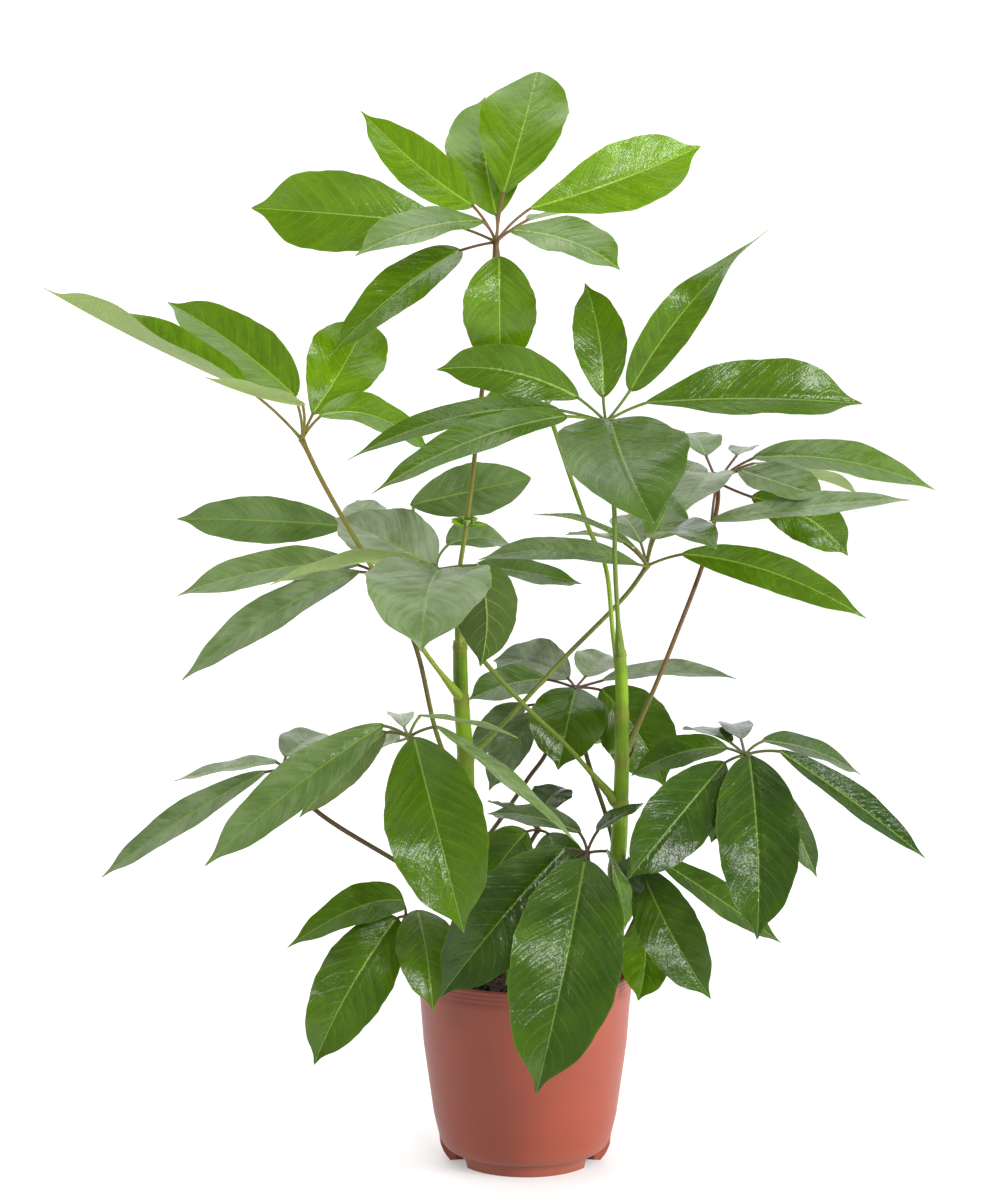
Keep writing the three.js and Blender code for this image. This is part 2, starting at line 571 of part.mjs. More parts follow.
// The two legs: a ring with the legs' outside, of which only the parts at the sides are kept.
function legsSolid() {
  const topHeight = legOutside.at(-1)[1];
  const innerRadius = FOOT_INNER_RADIUS + 1;
  const floorTop = FOOT_HEIGHT + FLOOR_THICKNESS;
  const inside = [topHeight, 20, 14, floorTop].map((z) => [cavityRadius(z), z]);
  const ring = lathe([[innerRadius, 0], ...legOutside, ...inside, [innerRadius, floorTop], [innerRadius, 0]]);
  const sides = new THREE.BoxGeometry(2 * POT_RIM_RADIUS, LEG_WIDTH, 2 * topHeight);
  return ring.intersect(toSolid(sides));
}

function soilSolid() {
  const bottom = FOOT_HEIGHT + FLOOR_THICKNESS + CLEARANCE;
  const wall = [bottom, 20, 45, 115].map((z) => [cavityRadius(z) - CLEARANCE, z]);
  const edgeHeight = SOIL_HEIGHT - SOIL_EDGE_DROP;
  const edge = cavityRadius(edgeHeight) - CLEARANCE;
  const crumbs = [[edge, edgeHeight]];
  [0.8, 0.5, 0.25].forEach((share, ring) => {
    crumbs.push([edge * share, SOIL_HEIGHT - SOIL_ROUGHNESS * (ring % 2)]);
  });
  crumbs.push([0, SOIL_HEIGHT]);
  let soil = lathe([[0, bottom], ...wall, ...crumbs]);
  Object.values(trunks).forEach((trunk) => {
    soil = soil.subtract(trunkSolid(trunk, CLEARANCE));
  });
  return soil;
}

const plant = new THREE.Group();
plant.name = 'potted_umbrella_plant';
plant.add(toMesh('pot', potSolid(), 0xa8563f, 0.4));
plant.add(toMesh('soil', soilSolid(), 0x2a1b12, 0.95));
Object.entries(trunks).forEach(([name, trunk]) => {
  plant.add(toMesh(name, trunkSolid(trunk), 0x6a9a24, 0.5));
});
leaves.forEach((leaf) => {
  plant.add(toMesh(leaf.name, leafSolid(leaf), 0x3f8a1c, 0.35));
});

export default plant;
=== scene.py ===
import math
from collections import namedtuple

import bpy
import numpy as np
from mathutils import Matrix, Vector


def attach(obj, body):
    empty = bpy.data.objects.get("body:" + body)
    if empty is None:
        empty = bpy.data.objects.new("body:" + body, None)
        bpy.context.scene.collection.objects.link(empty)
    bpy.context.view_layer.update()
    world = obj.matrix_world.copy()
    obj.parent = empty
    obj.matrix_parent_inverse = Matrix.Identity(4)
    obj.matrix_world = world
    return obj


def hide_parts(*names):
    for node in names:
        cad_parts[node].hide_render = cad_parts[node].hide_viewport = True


# A potted umbrella plant: each compound leaf, each stem, the pot and the soil as a fine surface.
# Lengths in the tables are millimetres. The meshes are in metres.

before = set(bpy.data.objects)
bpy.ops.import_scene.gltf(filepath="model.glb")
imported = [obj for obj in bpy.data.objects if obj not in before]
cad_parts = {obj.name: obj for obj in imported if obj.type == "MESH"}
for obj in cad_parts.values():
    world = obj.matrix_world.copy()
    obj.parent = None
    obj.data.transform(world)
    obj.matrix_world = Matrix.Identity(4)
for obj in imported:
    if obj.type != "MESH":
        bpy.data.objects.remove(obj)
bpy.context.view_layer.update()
MM = 0.001

# Where the eye stands that the leaf table is written for.
EYE_DISTANCE = 1800
EYE_ACROSS = -32.5
EYE_HEIGHT = 555


def place(points):
    """Rows of [across, depth, height] as places in space.

    Across and height are read on the upright plane through the pot's axis, so both spread from the
    eye's own line by 1 + depth / eye distance, and depth stays.
    """
    points = np.asarray(points, float)
    spread = 1 + points[..., 1] / EYE_DISTANCE
    x = EYE_ACROSS + (points[..., 0] - EYE_ACROSS) * spread
    z = EYE_HEIGHT + (points[..., 2] - EYE_HEIGHT) * spread
    return np.stack([x, points[..., 1], z], axis=-1)


# Which way the upper side of a leaflet looks.
UP = (0, 0, 1)
FRONT = (0, -1, 0.1)
UP_FRONT = (0, -1, 1)
UP_BACK = (0, 0.4, 1)
BACK = (0, 1, 0.3)
RIGHT = (1, -0.3, 0.5)

STEMS = {
    "trunk_left": {
        "route": [(-60, 0, 60), (-60, 0, 170), (-59, 0, 384), (-64, 0, 464), (-65, 0, 515)],
        "radii": [8.5, 8.5, 8.5, 8.4, 7],
    },
    "trunk_right": {
        "route": [(76, 10, 60), (79, 10, 170), (94, 8, 312), (97, 4, 455), (95, 0, 505)],
        "radii": [8.5, 8.5, 8.6, 7.3, 6],
    },
}

# A leaflet: the two ends of its midrib, how far the midrib bows, its width, the way its upper side
# looks, how far its halves fold up, how far towards the tip it is widest, how drawn out the tip is,
# its twist in radians, its own part of the leaf's tone, and its painted sheen, a pale painted
# reflection mixed into its green.
Leaflet = namedtuple(
    "Leaflet",
    "base tip bow width facing fold peak pull twist tone bloom",
    defaults=(0.2, 0.95, 0.5, 0, 0, 0),
)
# A compound leaf: its CAD node, the stem it grows from, its tone from dark to fresh green, how red
# its stalk is, the stalk's route from the knob to the stem, its leaflets and where it has a tuft.
Leaf = namedtuple("Leaf", "name trunk tone red stalk leaflets tuft", defaults=(None,))
LEAVES = [
    Leaf("leaf_top", "trunk_left", tone=0.76, red=0.6, tuft=(-59, -43, 628), stalk=[
        (-29, -10, 913), (-43, -14, 765), (-59, -40, 628), (-67, -30, 570), (-65, 0, 508),
    ], leaflets=[
        Leaflet((-22, 12, 960), (12, 70, 1083), (2, -10, 0), 92, (-0.25, -1, 0), peak=1.2, pull=0.1),
        Leaflet((-28, 20, 939), (-40, 112, 1058), (-6, -5, 0), 82, FRONT),
        Leaflet((-51, 5, 949), (-165, 50, 1045), (0, -5, -8), 52, FRONT, peak=0.8, pull=0.6),
        Leaflet((-68, -4, 929), (-274, -10, 947), (0, -8, 0), 84, FRONT, peak=1.4),
        Leaflet((-41, -34, 934), (-170, -125, 899), (0, -6, 8), 56, UP_FRONT),
        # This leaflet's lower tone is painted shade, where it hangs in shadow.
        Leaflet((-64, -35, 905), (-196, -90, 798), (2, -10, 9), 50, (0, -1, 0.6),
                peak=0.8, pull=0.7, tone=-0.3),
        Leaflet((-26, -42, 899), (-25, -24, 782), (0, -14, 0), 72, FRONT),
        Leaflet((-14, -42, 925), (95, -110, 885), (6, -8, 6), 62, UP_FRONT),
        Leaflet((2, 22, 935), (80, 85, 946), (0, 0, 3), 56, UP),
        Leaflet((3, 8, 946), (176, 30, 1009), (0, -8, -6), 72, FRONT, peak=1.35),
    ]),
    Leaf("leaf_upper_left", "trunk_left", tone=0.85, red=0.45, stalk=[
        (-223, -60, 715), (-204, -74, 676), (-167, -101, 611), (-105, -62, 510), (-63, 0, 455),
    ], leaflets=[
        Leaflet((-277, -64, 766), (-483, -44, 868), (0, 0, -4), 43, (0, -0.45, 1),
                fold=1, peak=0.8, pull=0.8, twist=0.9),
        Leaflet((-229, -40, 758), (-358, 20, 853), (3, -6, 4), 62, (0.35, -1, 0.1), fold=0.35, peak=0.75),
        Leaflet((-220, -95, 750), (-320, -160, 778), (0, 0, -4), 36, UP, fold=0.4),
        Leaflet((-213, -45, 740), (-156, 10, 838), (4, -8, 0), 76, FRONT, peak=1.15),
        Leaflet((-206, -72, 739), (-94, -20, 702), (0, -5, 17), 54, UP_FRONT),
    ]),
    Leaf("leaf_left", "trunk_left", tone=0.5, red=0.6, stalk=[
        (-141, -40, 577), (-110, -35, 510), (-88, -20, 420), (-60, 0, 350),
    ], leaflets=[
        Leaflet((-180, 5, 629), (-349, 30, 636), (0, -4, 2), 48, FRONT, bloom=0.2),
        Leaflet((-165, -45, 590), (-348, -40, 559), (0, -4, 10), 50, UP_FRONT, bloom=0.35),
        Leaflet((-165, -60, 584), (-344, -90, 474), (0, -6, 10), 46, UP_FRONT, bloom=0.45),
        Leaflet((-150, 15, 612), (-168, 110, 655), (0, 0, 4), 46, UP_FRONT, bloom=0.8),
    ]),
    Leaf("leaf_middle_left", "trunk_right", tone=0.5, red=0.25, stalk=[
        (-88, -90, 585), (-59, -52, 518), (-1, -30, 450), (40, -12, 411), (94, 8, 350),
    ], leaflets=[
        Leaflet((-92, -82, 589), (-190, -28, 637), (0, -4, 3), 80, UP_FRONT, peak=0.75, bloom=0.8),
        Leaflet((-104, -105, 594), (-255, -170, 570), (0, 0, 9), 40, UP_BACK, bloom=0.35),
        Leaflet((-85, -108, 586), (-104, -235, 503), (-2, -25, 12), 112, UP_FRONT,
                fold=0.3, peak=0.9, pull=0.6, bloom=0.45),
        # This leaflet's much lower tone is painted shade.
        Leaflet((-48, -85, 592), (-45, -60, 488), (8, 0, 0), 60, BACK, peak=0.75, tone=-0.55),
        Leaflet((-50, -24, 589), (57, 50, 571), (0, 0, 2), 40, UP_FRONT),
        Leaflet((-78, -10, 610), (-12, 55, 608), (0, 0, 8), 48, UP_FRONT, bloom=0.2),
        Leaflet((-115, 30, 650), (6, 100, 677), (0, -5, 0), 56, FRONT,
                peak=1, pull=0.1, bloom=0.25),
    ]),
    Leaf("leaf_upper_right", "trunk_right", tone=0.46, red=0.1, stalk=[
        (81, -60, 733), (89, -54, 648), (90, -40, 590), (95, 0, 500),
    ], leaflets=[
        Leaflet((78, -50, 757), (60, -20, 872), (5, -6, 0), 52, FRONT),
        Leaflet((105, -50, 764), (243, -60, 925), (-9, -4, 6), 43, FRONT, peak=0.7, pull=0.8, twist=-1.4),
        Leaflet((119, -62, 752), (338, -80, 751), (-3, -5, 4), 78, (0, -1, 0.8), fold=0.45, peak=1.25),
        Leaflet((54, -60, 757), (-89, -60, 785), (0, -4, 12), 50, FRONT),
        Leaflet((35, -78, 745), (-179, -115, 694), (0, -6, 16), 36, UP_FRONT, peak=0.8, pull=0.7),
        Leaflet((42, -92, 739), (-155, -165, 660), (0, -6, 12), 44, UP_FRONT, peak=0.75, pull=0.7),
        Leaflet((86, -90, 735), (129, -225, 632), (-8, -26, 3), 116, (0, -1, 0.8),
                fold=0.3, peak=0.9, pull=0.25, bloom=0.05),
    ]),
    Leaf("leaf_right", "trunk_right", tone=0.5, red=0.9, stalk=[
        (192, 60, 673), (193, 56, 656), (181, 45, 601), (149, 25, 515), (122, 14, 450), (96, 6, 395),
    ], leaflets=[
        Leaflet((181, 95, 699), (165, 190, 722), (0, 0, 4), 50, UP),
        Leaflet((190, 20, 682), (160, -90, 643), (0, -10, 8), 62, UP, bloom=0.35),
        Leaflet((172, 58, 692), (140, -10, 650), (0, -6, 6), 46, UP_FRONT, bloom=0.35),
        Leaflet((227, 60, 697), (410, 60, 665), (0, -4, 13), 54, UP_FRONT, bloom=0.15),
        Leaflet((228, 95, 692), (335, 165, 660), (0, 0, 6), 46, UP),
        Leaflet((214, 36, 685), (301, -30, 656), (0, -4, 0), 54, UP_FRONT),
        Leaflet((184, 0, 634), (386, -60, 655), (0, -4, 4), 34, UP_FRONT, bloom=0.6),
        Leaflet((226, 50, 658), (323, 40, 599), (8, -4, 8), 54, FRONT),
        Leaflet((212, 110, 700), (225, 190, 708), (0, 0, 2), 32, UP),
    ]),
    Leaf("leaf_middle_right", "trunk_left", tone=0.5, red=0.35, stalk=[
        (122, 20, 589), (105, 32, 565), (86, 34, 544), (40, 16, 498), (-32, 2, 421), (-59, 0, 396),
    ], leaflets=[
        Leaflet((112, -2, 606), (8, -30, 640), (0, 0, 10), 30, UP),
        Leaflet((100, 55, 612), (40, 95, 620), (0, 0, 4), 34, UP, bloom=0.15),
        Leaflet((129, 0, 617), (191, -150, 606), (0, 0, 12), 52, UP_FRONT, peak=0.8, pull=0.2),
        Leaflet((156, 8, 601), (342, -60, 536), (0, -4, 13), 38, FRONT),
        Leaflet((114, 0, 590), (-47, -34, 595), (0, 0, 12), 34, UP_FRONT, bloom=0.4),
        Leaflet((126, 45, 616), (150, 105, 662), (0, -4, 0), 50, FRONT, bloom=0.15),
        Leaflet((116, 40, 612), (96, 115, 640), (0, 0, 4), 44, UP_FRONT),
    ]),
    Leaf("leaf_middle_back", "trunk_right", tone=0.3, red=0.6, stalk=[
        (50, 80, 467), (60, 62, 405), (82, 30, 336), (94, 8, 290),
    ], leaflets=[
        Leaflet((44, 92, 476), (-32, 150, 494), (0, 0, 8), 64, UP_FRONT, bloom=0.5),
        Leaflet((22, 80, 476), (-57, 50, 455), (0, 0, 5), 46, UP_FRONT, bloom=0.2),
        Leaflet((51, 68, 467), (33, 10, 385), (0, -10, 6), 78, UP_FRONT),
        Leaflet((76, 90, 474), (212, 100, 476), (0, 0, 10), 36, (0, -0.5, 1), bloom=0.6),
        Leaflet((60, 110, 478), (85, 190, 500), (0, 0, 4), 50, UP_FRONT, bloom=0.45),
        Leaflet((76, 84, 466), (140, 60, 368), (4, -4, 6), 76, FRONT),
    ]),
    Leaf("leaf_inner_back", "trunk_left", tone=0.3, red=0.7, stalk=[
        (20, 140, 450), (23, 120, 408), (2, 90, 375), (-23, 58, 338), (-59, 0, 290),
    ], leaflets=[
        Leaflet((11, 135, 443), (-36, 110, 364), (-2, -6, 4), 42, UP_FRONT, bloom=0.35),
        Leaflet((2, 145, 450), (-53, 150, 395), (-2, -2, 6), 40, UP_FRONT, bloom=0.3),
        Leaflet((28, 158, 452), (44, 240, 420), (0, 0, 8), 46, UP),
        Leaflet((34, 146, 446), (80, 180, 410), (0, 0, 6), 46, UP_FRONT, bloom=0.15),
    ]),
    Leaf("leaf_lower_left_front", "trunk_left", tone=0.6, red=0.3, stalk=[
        (-116, -110, 418), (-104, -85, 365), (-60, 0, 290),
    ], leaflets=[
        Leaflet((-111, -120, 418), (-61, -205, 222), (0, -22, 4), 90, FRONT, tone=-0.18),
        Leaflet((-90, -115, 430), (54, -180, 310), (0, -6, 4), 36, UP, tone=-0.2, bloom=0.3),
        Leaflet((-107, -100, 440), (-7, -60, 417), (0, -4, 4), 30, UP, bloom=0.1),
        Leaflet((-141, -116, 431), (-321, -155, 288), (0, -6, 7), 50, (0, -1, 0.6),
                tone=-0.25, bloom=0.25),
        Leaflet((-139, -98, 424), (-226, -75, 337), (0, 6, 4), 36, BACK, tone=-0.2, bloom=0.15),
        Leaflet((-121, -80, 428), (-128, 40, 439), (0, 0, 6), 26, UP),
        Leaflet((-126, -85, 414), (-166, -25, 395), (0, 0, 4), 36, UP_FRONT, bloom=0.2),
    ]),
    Leaf("leaf_lower_left", "trunk_left", tone=0.4, red=0.7, stalk=[
        (-240, -60, 384), (-213, -64, 348), (-121, -46, 289), (-60, 0, 250),
    ], leaflets=[
        Leaflet((-258, -62, 384), (-424, -60, 277), (-2, -4, 5), 36, UP_FRONT, bloom=0.35),
        Leaflet((-247, -40, 393), (-351, 20, 374), (0, 0, 2), 40, (0, -0.35, 1), bloom=0.35),
        Leaflet((-240, -30, 398), (-198, 80, 421), (0, 0, 4), 48, UP_FRONT, bloom=0.5),
        Leaflet((-226, -42, 396), (-170, 50, 408), (0, 0, 4), 40, UP),
    ]),
    Leaf("leaf_low_left", "trunk_left", tone=0.45, red=0.6, stalk=[
        (-119, -60, 238), (-92, -36, 226), (-60, 0, 205),
    ], leaflets=[
        Leaflet((-121, -66, 254), (-238, -100, 207), (9, -6, 16), 46, UP_FRONT, peak=0.68),
        Leaflet((-128, -78, 238), (-211, -130, 90), (-7, -12, 0), 69, FRONT, peak=0.78),
        Leaflet((-108, -78, 245), (-92, -150, 144), (2, -12, 9), 56, UP_FRONT),
    ]),
    Leaf("leaf_front", "trunk_right", tone=0.19, red=0.5, stalk=[
        (62, -120, 302), (66, -75, 275), (82, 10, 215),
    ], leaflets=[
        Leaflet((56, -100, 322), (-38, -40, 341), (0, 0, 6), 38, (0, -0.5, 1)),
        Leaflet((72, -100, 324), (119, -40, 352), (0, 0, 2), 26, UP),
        Leaflet((42, -122, 308), (-86, -160, 157), (-2, -8, 4), 76, FRONT),
        Leaflet((60, -137, 296), (11, -225, 61), (0, -22, 0), 100, FRONT, peak=0.8),
        Leaflet((82, -120, 306), (100, -160, 225), (3, -6, 0), 40, RIGHT),
        Leaflet((50, -110, 298), (-20, -140, 170), (0, -6, 0), 52, FRONT),
    ]),
    Leaf("leaf_low_back", "trunk_left", tone=0.18, red=0.5, stalk=[
        (13, 34, 325), (-15, 24, 280), (-60, 0, 225),
    ], leaflets=[
        Leaflet((2, 32, 336), (-38, 8, 354), (0, 0, 2), 38, UP),
        Leaflet((16, 50, 342), (38, 105, 368), (0, 0, 4), 42, (0, -0.6, 1)),
        Leaflet((2, 24, 324), (-38, -26, 270), (-2, -6, 2), 52, FRONT),
        Leaflet((24, 26, 322), (40, -34, 250), (2, -8, 2), 56, FRONT),
    ]),
    Leaf("leaf_lower_right", "trunk_right", tone=0.17, red=0.3, stalk=[
        (220, -60, 400), (195, -48, 360), (150, -28, 325), (92, 9, 285),
    ], leaflets=[
        Leaflet((224, -72, 399), (232, -150, 215), (2, -16, 0), 78, FRONT, peak=0.8),
        Leaflet((200, -76, 393), (103, -140, 276), (-3, -12, 0), 64, FRONT),
        Leaflet((203, -62, 407), (106, -50, 379), (0, -3, 9), 38, UP_FRONT),
        Leaflet((206, -10, 412), (158, 90, 425), (0, 0, 5), 36, UP),
        Leaflet((216, -20, 416), (205, 110, 430), (0, 0, 6), 36, UP),
        Leaflet((237, -30, 414), (336, 70, 380), (0, 0, 8), 36, UP_FRONT),
        Leaflet((253, -62, 405), (401, -75, 296), (2, -3, 2), 33, (0.3, -1, 0.7), fold=0.35),
        Leaflet((236, -40, 394), (292, 10, 277), (2, 0, 0), 28, FRONT, peak=1.3),
        Leaflet((212, -50, 388), (186, -20, 312), (0, 0, 0), 42, FRONT),
    ]),
    Leaf("leaf_low_right", "trunk_right", tone=0.19, red=0.4, stalk=[
        (112, -55, 288), (100, -30, 258), (84, 10, 225),
    ], leaflets=[
        Leaflet((115, -72, 290), (186, -130, 156), (-5, -12, 0), 58, FRONT),
        Leaflet((132, -50, 296), (256, -20, 212), (0, -3, 2), 38, UP_FRONT),
        Leaflet((104, -64, 296), (100, -100, 250), (0, -4, 0), 34, FRONT),
    ]),
    Leaf("leaf_lowest_right", "trunk_right", tone=0.35, red=0.4, stalk=[
        (112, 20, 240), (98, 18, 212), (80, 10, 182),
    ], leaflets=[
        Leaflet((119, -6, 237), (113, -62, 154), (3, -8, 0), 50, FRONT),
        Leaflet((118, 34, 246), (140, 70, 228), (0, 0, 6), 40, UP),
        Leaflet((108, 30, 248), (98, 60, 252), (0, 0, 3), 30, UP),
    ]),
    Leaf("leaf_young", "trunk_right", tone=0.9, red=0.0, stalk=[
        (22, 0, 750), (28, 4, 730), (64, 20, 626), (80, 18, 590), (88, 14, 520), (97, 4, 440),
    ], leaflets=[
        Leaflet((8, 4, 756), (-42, 10, 757), (0, 0, 2), 20, FRONT),
        Leaflet((18, 14, 762), (4, 50, 772), (0, 0, 2), 18, UP_FRONT),
        Leaflet((32, 8, 762), (46, 40, 768), (0, 0, 2), 18, UP_FRONT),
    ]),
]

# Places worked out on each piece of a smooth path, before they are spread evenly over the whole.
CURVE_STEPS = 40


def lattice_noise(u, v, cells_u, cells_v, seed):
    """Smooth noise from -1 to 1 on a square that wraps round in u, the same from run to run.

    Random heights stand on a lattice, and each place mixes its four nearest by the smooth step
    3t^2 - 2t^3 along both sides.
    """
    heights = np.random.default_rng(seed).uniform(-1, 1, (cells_u, cells_v + 1))
    a = np.mod(u, 1) * cells_u
    b = np.clip(v, 0, 1) * cells_v
    i = np.floor(a).astype(int) % cells_u
    j = np.minimum(np.floor(b).astype(int), cells_v - 1)
    s = smooth_step(0, 1, a - np.floor(a))
    t = smooth_step(0, 1, b - j)
    before = heights[i, j] * (1 - s) + heights[(i + 1) % cells_u, j] * s
    beyond = heights[i, j + 1] * (1 - s) + heights[(i + 1) % cells_u, j + 1] * s
    return before * (1 - t) + beyond * t


def smooth_step(low, high, value):
    """0 below low, 1 above high, and 3t^2 - 2t^3 between."""
    t = np.clip((value - low) / (high - low), 0, 1)
    return t * t * (3 - 2 * t)


def bell(value, width):
    """1 at 0, and e^-(value/width)^2 to both sides."""
    return np.exp(-((value / width) ** 2))


def sway(turns, along, phase):
    """A wave of so many turns along a line from 0 to 1: sin(2 pi x turns x along + phase)."""
    return np.sin(2 * math.pi * turns * along + phase)


def ring_angles(sides):
    """The angles of even steps once round."""
    return np.linspace(0, 2 * math.pi, sides, endpoint=False)


def unit(vectors):
    """Each row divided by its length."""
    return vectors / np.linalg.norm(vectors, axis=-1, keepdims=True)


def square_to(tangents, way):
    """At each tangent, the direction nearest to a way that is square to the tangent."""
    return unit(way - (tangents @ way)[:, None] * tangents)


def beside(line, side, out, normal, lift):
    """A grid of points that stand off each place of a line: place + out x side + lift x normal."""
    return line[:, None, :] + out[..., None] * side[:, None, :] + lift[..., None] * normal[:, None, :]


def even_steps(corners, count):
    """count places at even steps of length on the straight pieces between the corners."""
    run = np.concatenate([[0], np.cumsum(np.linalg.norm(np.diff(corners, axis=0), axis=1))])
    even = np.linspace(0, run[-1], count)
    return np.stack([np.interp(even, run, column) for column in np.transpose(corners)], axis=1)


def catmull_rom(points, count):
    """A smooth path through all the points, in count evenly spaced places.

    Between two points it is the cubic whose slopes come from the neighbours' distances to the power
    of one half. The ends run on as straight lines.
    """
    ends = np.vstack([2 * points[0] - points[1], points, 2 * points[-1] - points[-2]])
    t = np.linspace(0, 1, CURVE_STEPS)[:, None]
    pieces = []
    for p0, p1, p2, p3 in zip(ends, ends[1:], ends[2:], ends[3:]):
        d0, d1, d2 = (np.sqrt(np.linalg.norm(b - a)) for a, b in ((p0, p1), (p1, p2), (p2, p3)))
        slope1 = ((p1 - p0) / d0 - (p2 - p0) / (d0 + d1) + (p2 - p1) / d1) * d1
        slope2 = ((p2 - p1) / d1 - (p3 - p1) / (d1 + d2) + (p3 - p2) / d2) * d1
        c2 = -3 * p1 + 3 * p2 - 2 * slope1 - slope2
        c3 = 2 * p1 - 2 * p2 + slope1 + slope2
        pieces.append((p1 + slope1 * t + c2 * t**2 + c3 * t**3)[:-1])
    return even_steps(np.vstack(pieces + [points[-1:]]), count)


def bezier(start, elbow, end, t):
    """Places and slopes of the curve (1-t)^2 start + 2t(1-t) elbow + t^2 end."""
    t = t[:, None]
    places = (1 - t) ** 2 * start + 2 * t * (1 - t) * elbow + t**2 * end
    slopes = 2 * (1 - t) * (elbow - start) + 2 * t * (end - elbow)
    return places, unit(slopes)


def strip_faces(rows, columns, around=False):
    """Four-sided faces of a grid of rows x columns points: a point, the next one in its row, and
    these two in the next row, the other way round. around joins the last column to the first."""
    spans = columns if around else columns - 1
    i = np.arange(rows - 1)[:, None] * columns
    j = np.arange(spans)[None, :]
    k = (j + 1) % columns
    return np.stack([i + j, i + k, i + columns + k, i + columns + j], axis=-1).reshape(-1, 4)


def closed_faces(rows, sides):
    """Faces of a round skin of rows x sides points, with a fan at each end to one more point."""
    j = np.arange(sides)
    k = (j + 1) % sides
    low = np.full(sides, rows * sides)
    last = (rows - 1) * sides
    low_cap = np.stack([low, k, j, j], axis=1)
    high_cap = np.stack([low + 1, last + j, last + k, last + k], axis=1)
    return np.vstack([strip_faces(rows, sides, around=True), low_cap, high_cap])


def shell(upper, under):
    """A thin closed shell: two grids of points, upper and under, with a rim of faces between."""
    rows, columns, _ = upper.shape
    size = rows * columns
    grid = strip_faces(rows, columns)
    i = np.arange(rows - 1) * columns
    j = np.arange(columns - 1)
    left = np.stack([i, i + columns, size + i + columns, size + i], axis=1)
    start = np.stack([j, size + j, size + j + 1, j + 1], axis=1)
    faces = np.vstack([
        grid[:, ::-1],
        grid + size,
        left[:, ::-1],
        left + columns - 1,
        start[:, ::-1],
        start + (rows - 1) * columns,
    ])
    return np.concatenate([upper.reshape(-1, 3), under.reshape(-1, 3)]), faces


def tube(path, radii, sides, bump=0):
    """A closed round skin along a path: each point stands off the path by radius x (1 + bump) in a
    ring across it, and a point at each end closes the skin.

    radii has one number for each place on the path, and bump is a grid of places x sides. The
    rings' first sides all look the way that is most across the whole path. Given with the points
    and faces is how far along and how far round each point lies, both from 0 to 1.
    """
    tangent = unit(np.gradient(path, axis=0))
    chord = unit(path[-1] - path[0])
    first = square_to(tangent, np.cross(chord, (0, 1, 0) if abs(chord[1]) < 0.8 else (1, 0, 0)))
    angle = ring_angles(sides)
    reach = radii[:, None] * (1 + bump) * np.ones(sides)
    ring = beside(path, first, reach * np.cos(angle), np.cross(tangent, first), reach * np.sin(angle))
    rows = len(path)
    points = np.vstack([ring.reshape(-1, 3), path[:1], path[-1:]])
    along = np.concatenate([np.repeat(np.linspace(0, 1, rows), sides), [0, 1]])
    turn = np.concatenate([np.tile(angle / (2 * math.pi), rows), [0, 0]])
    return points, closed_faces(rows, sides), along, turn


class Surface:
    """Points and faces, and what the materials read: at each point its place on the blade, its look
    and its veins, and for each face which finish it has."""

    def __init__(self):
        self.pieces = []
        self.count = 0

    def add(self, points, faces, finish, spots, looks, veins=(0, 0, 0), rim=False):
        """Adds points (n, 3) in millimetres and faces (k, 4). A face whose last two corners are the
        same point is a triangle. An edge between two rim points is a crisp one."""
        rows = [np.broadcast_to(values, points.shape) for values in (spots, looks, veins)]
        rims = np.broadcast_to(rim, len(points))
        self.pieces.append([points, faces + self.count, np.full(len(faces), finish), rims, *rows])
        self.count += len(points)

    def build(self, name, materials, slot):
        """One mesh object that stands for the CAD node of its name."""
        points, faces, finishes, rims, *rows = (np.concatenate(values) for values in zip(*self.pieces))
        keep = np.ones(faces.shape, bool)
        keep[:, 3] = faces[:, 2] != faces[:, 3]
        corners = keep.sum(axis=1)
        mesh = bpy.data.meshes.new(name)
        mesh.vertices.add(len(points))
        mesh.vertices.foreach_set("co", (points * MM).astype(np.float32).ravel())
        mesh.loops.add(int(corners.sum()))
        mesh.loops.foreach_set("vertex_index", faces[keep].astype(np.int32))
        mesh.polygons.add(len(faces))
        mesh.polygons.foreach_set("loop_start", (np.cumsum(corners) - corners).astype(np.int32))
        mesh.polygons.foreach_set("material_index", finishes.astype(np.int32))
        mesh.polygons.foreach_set("use_smooth", np.ones(len(faces), bool))
        for label, values in zip(("spot", "look", "vein"), rows):
            attribute = mesh.attributes.new(label, "FLOAT_VECTOR", "POINT")
            attribute.data.foreach_set("vector", values.astype(np.float32).ravel())
        for material in materials:
            mesh.materials.append(material)
        mesh.update(calc_edges=True)
        ends = np.empty(2 * len(mesh.edges), np.int32)
        mesh.edges.foreach_get("vertices", ends)
        crisp = rims[ends.reshape(-1, 2)].all(axis=1)
        mesh.attributes.new("sharp_edge", "BOOLEAN", "EDGE").data.foreach_set("value", crisp)
        mesh.validate()
        piece = bpy.data.objects.new(name + "_looks", mesh)
        bpy.context.scene.collection.objects.link(piece)
        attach(piece, "root")
        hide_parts(name)


# Leaves. A blade's finish is number 0 and a stalk's is 1. A look is the tone of the green, how red
# the stalk is, and a chance number from 0 to 1.
BLADE_ROWS = 58
BLADE_HALF_COLUMNS = 11
COLUMN_CROWDING = 1.35
BLADE_START = 0.002
BLADE_END = 0.9985
BLADE_THICKNESS = 0.8
EDGE_THINNING = 0.6
TWIST_START = 0.3
WAVE_HEIGHT = 0.07
WAVE_TURNS = 2.2
# Small waves of the rim: depth as a share of the half-width, turns along the blade, share of phase.
RIM_WAVES = ((0.012, 5.3, 1), (0.007, 11.7, -2))
VEIN_SPACING = 15
VEIN_SLOPE = 0.62
VEIN_CURVE = 0.38
PILLOW_HEIGHT = 0.006
RIB_WIDTH = 1.6
GROOVE_DEPTH = 0.45
RIB_HEIGHT = 1.3
GOLDEN_ANGLE = 2.4

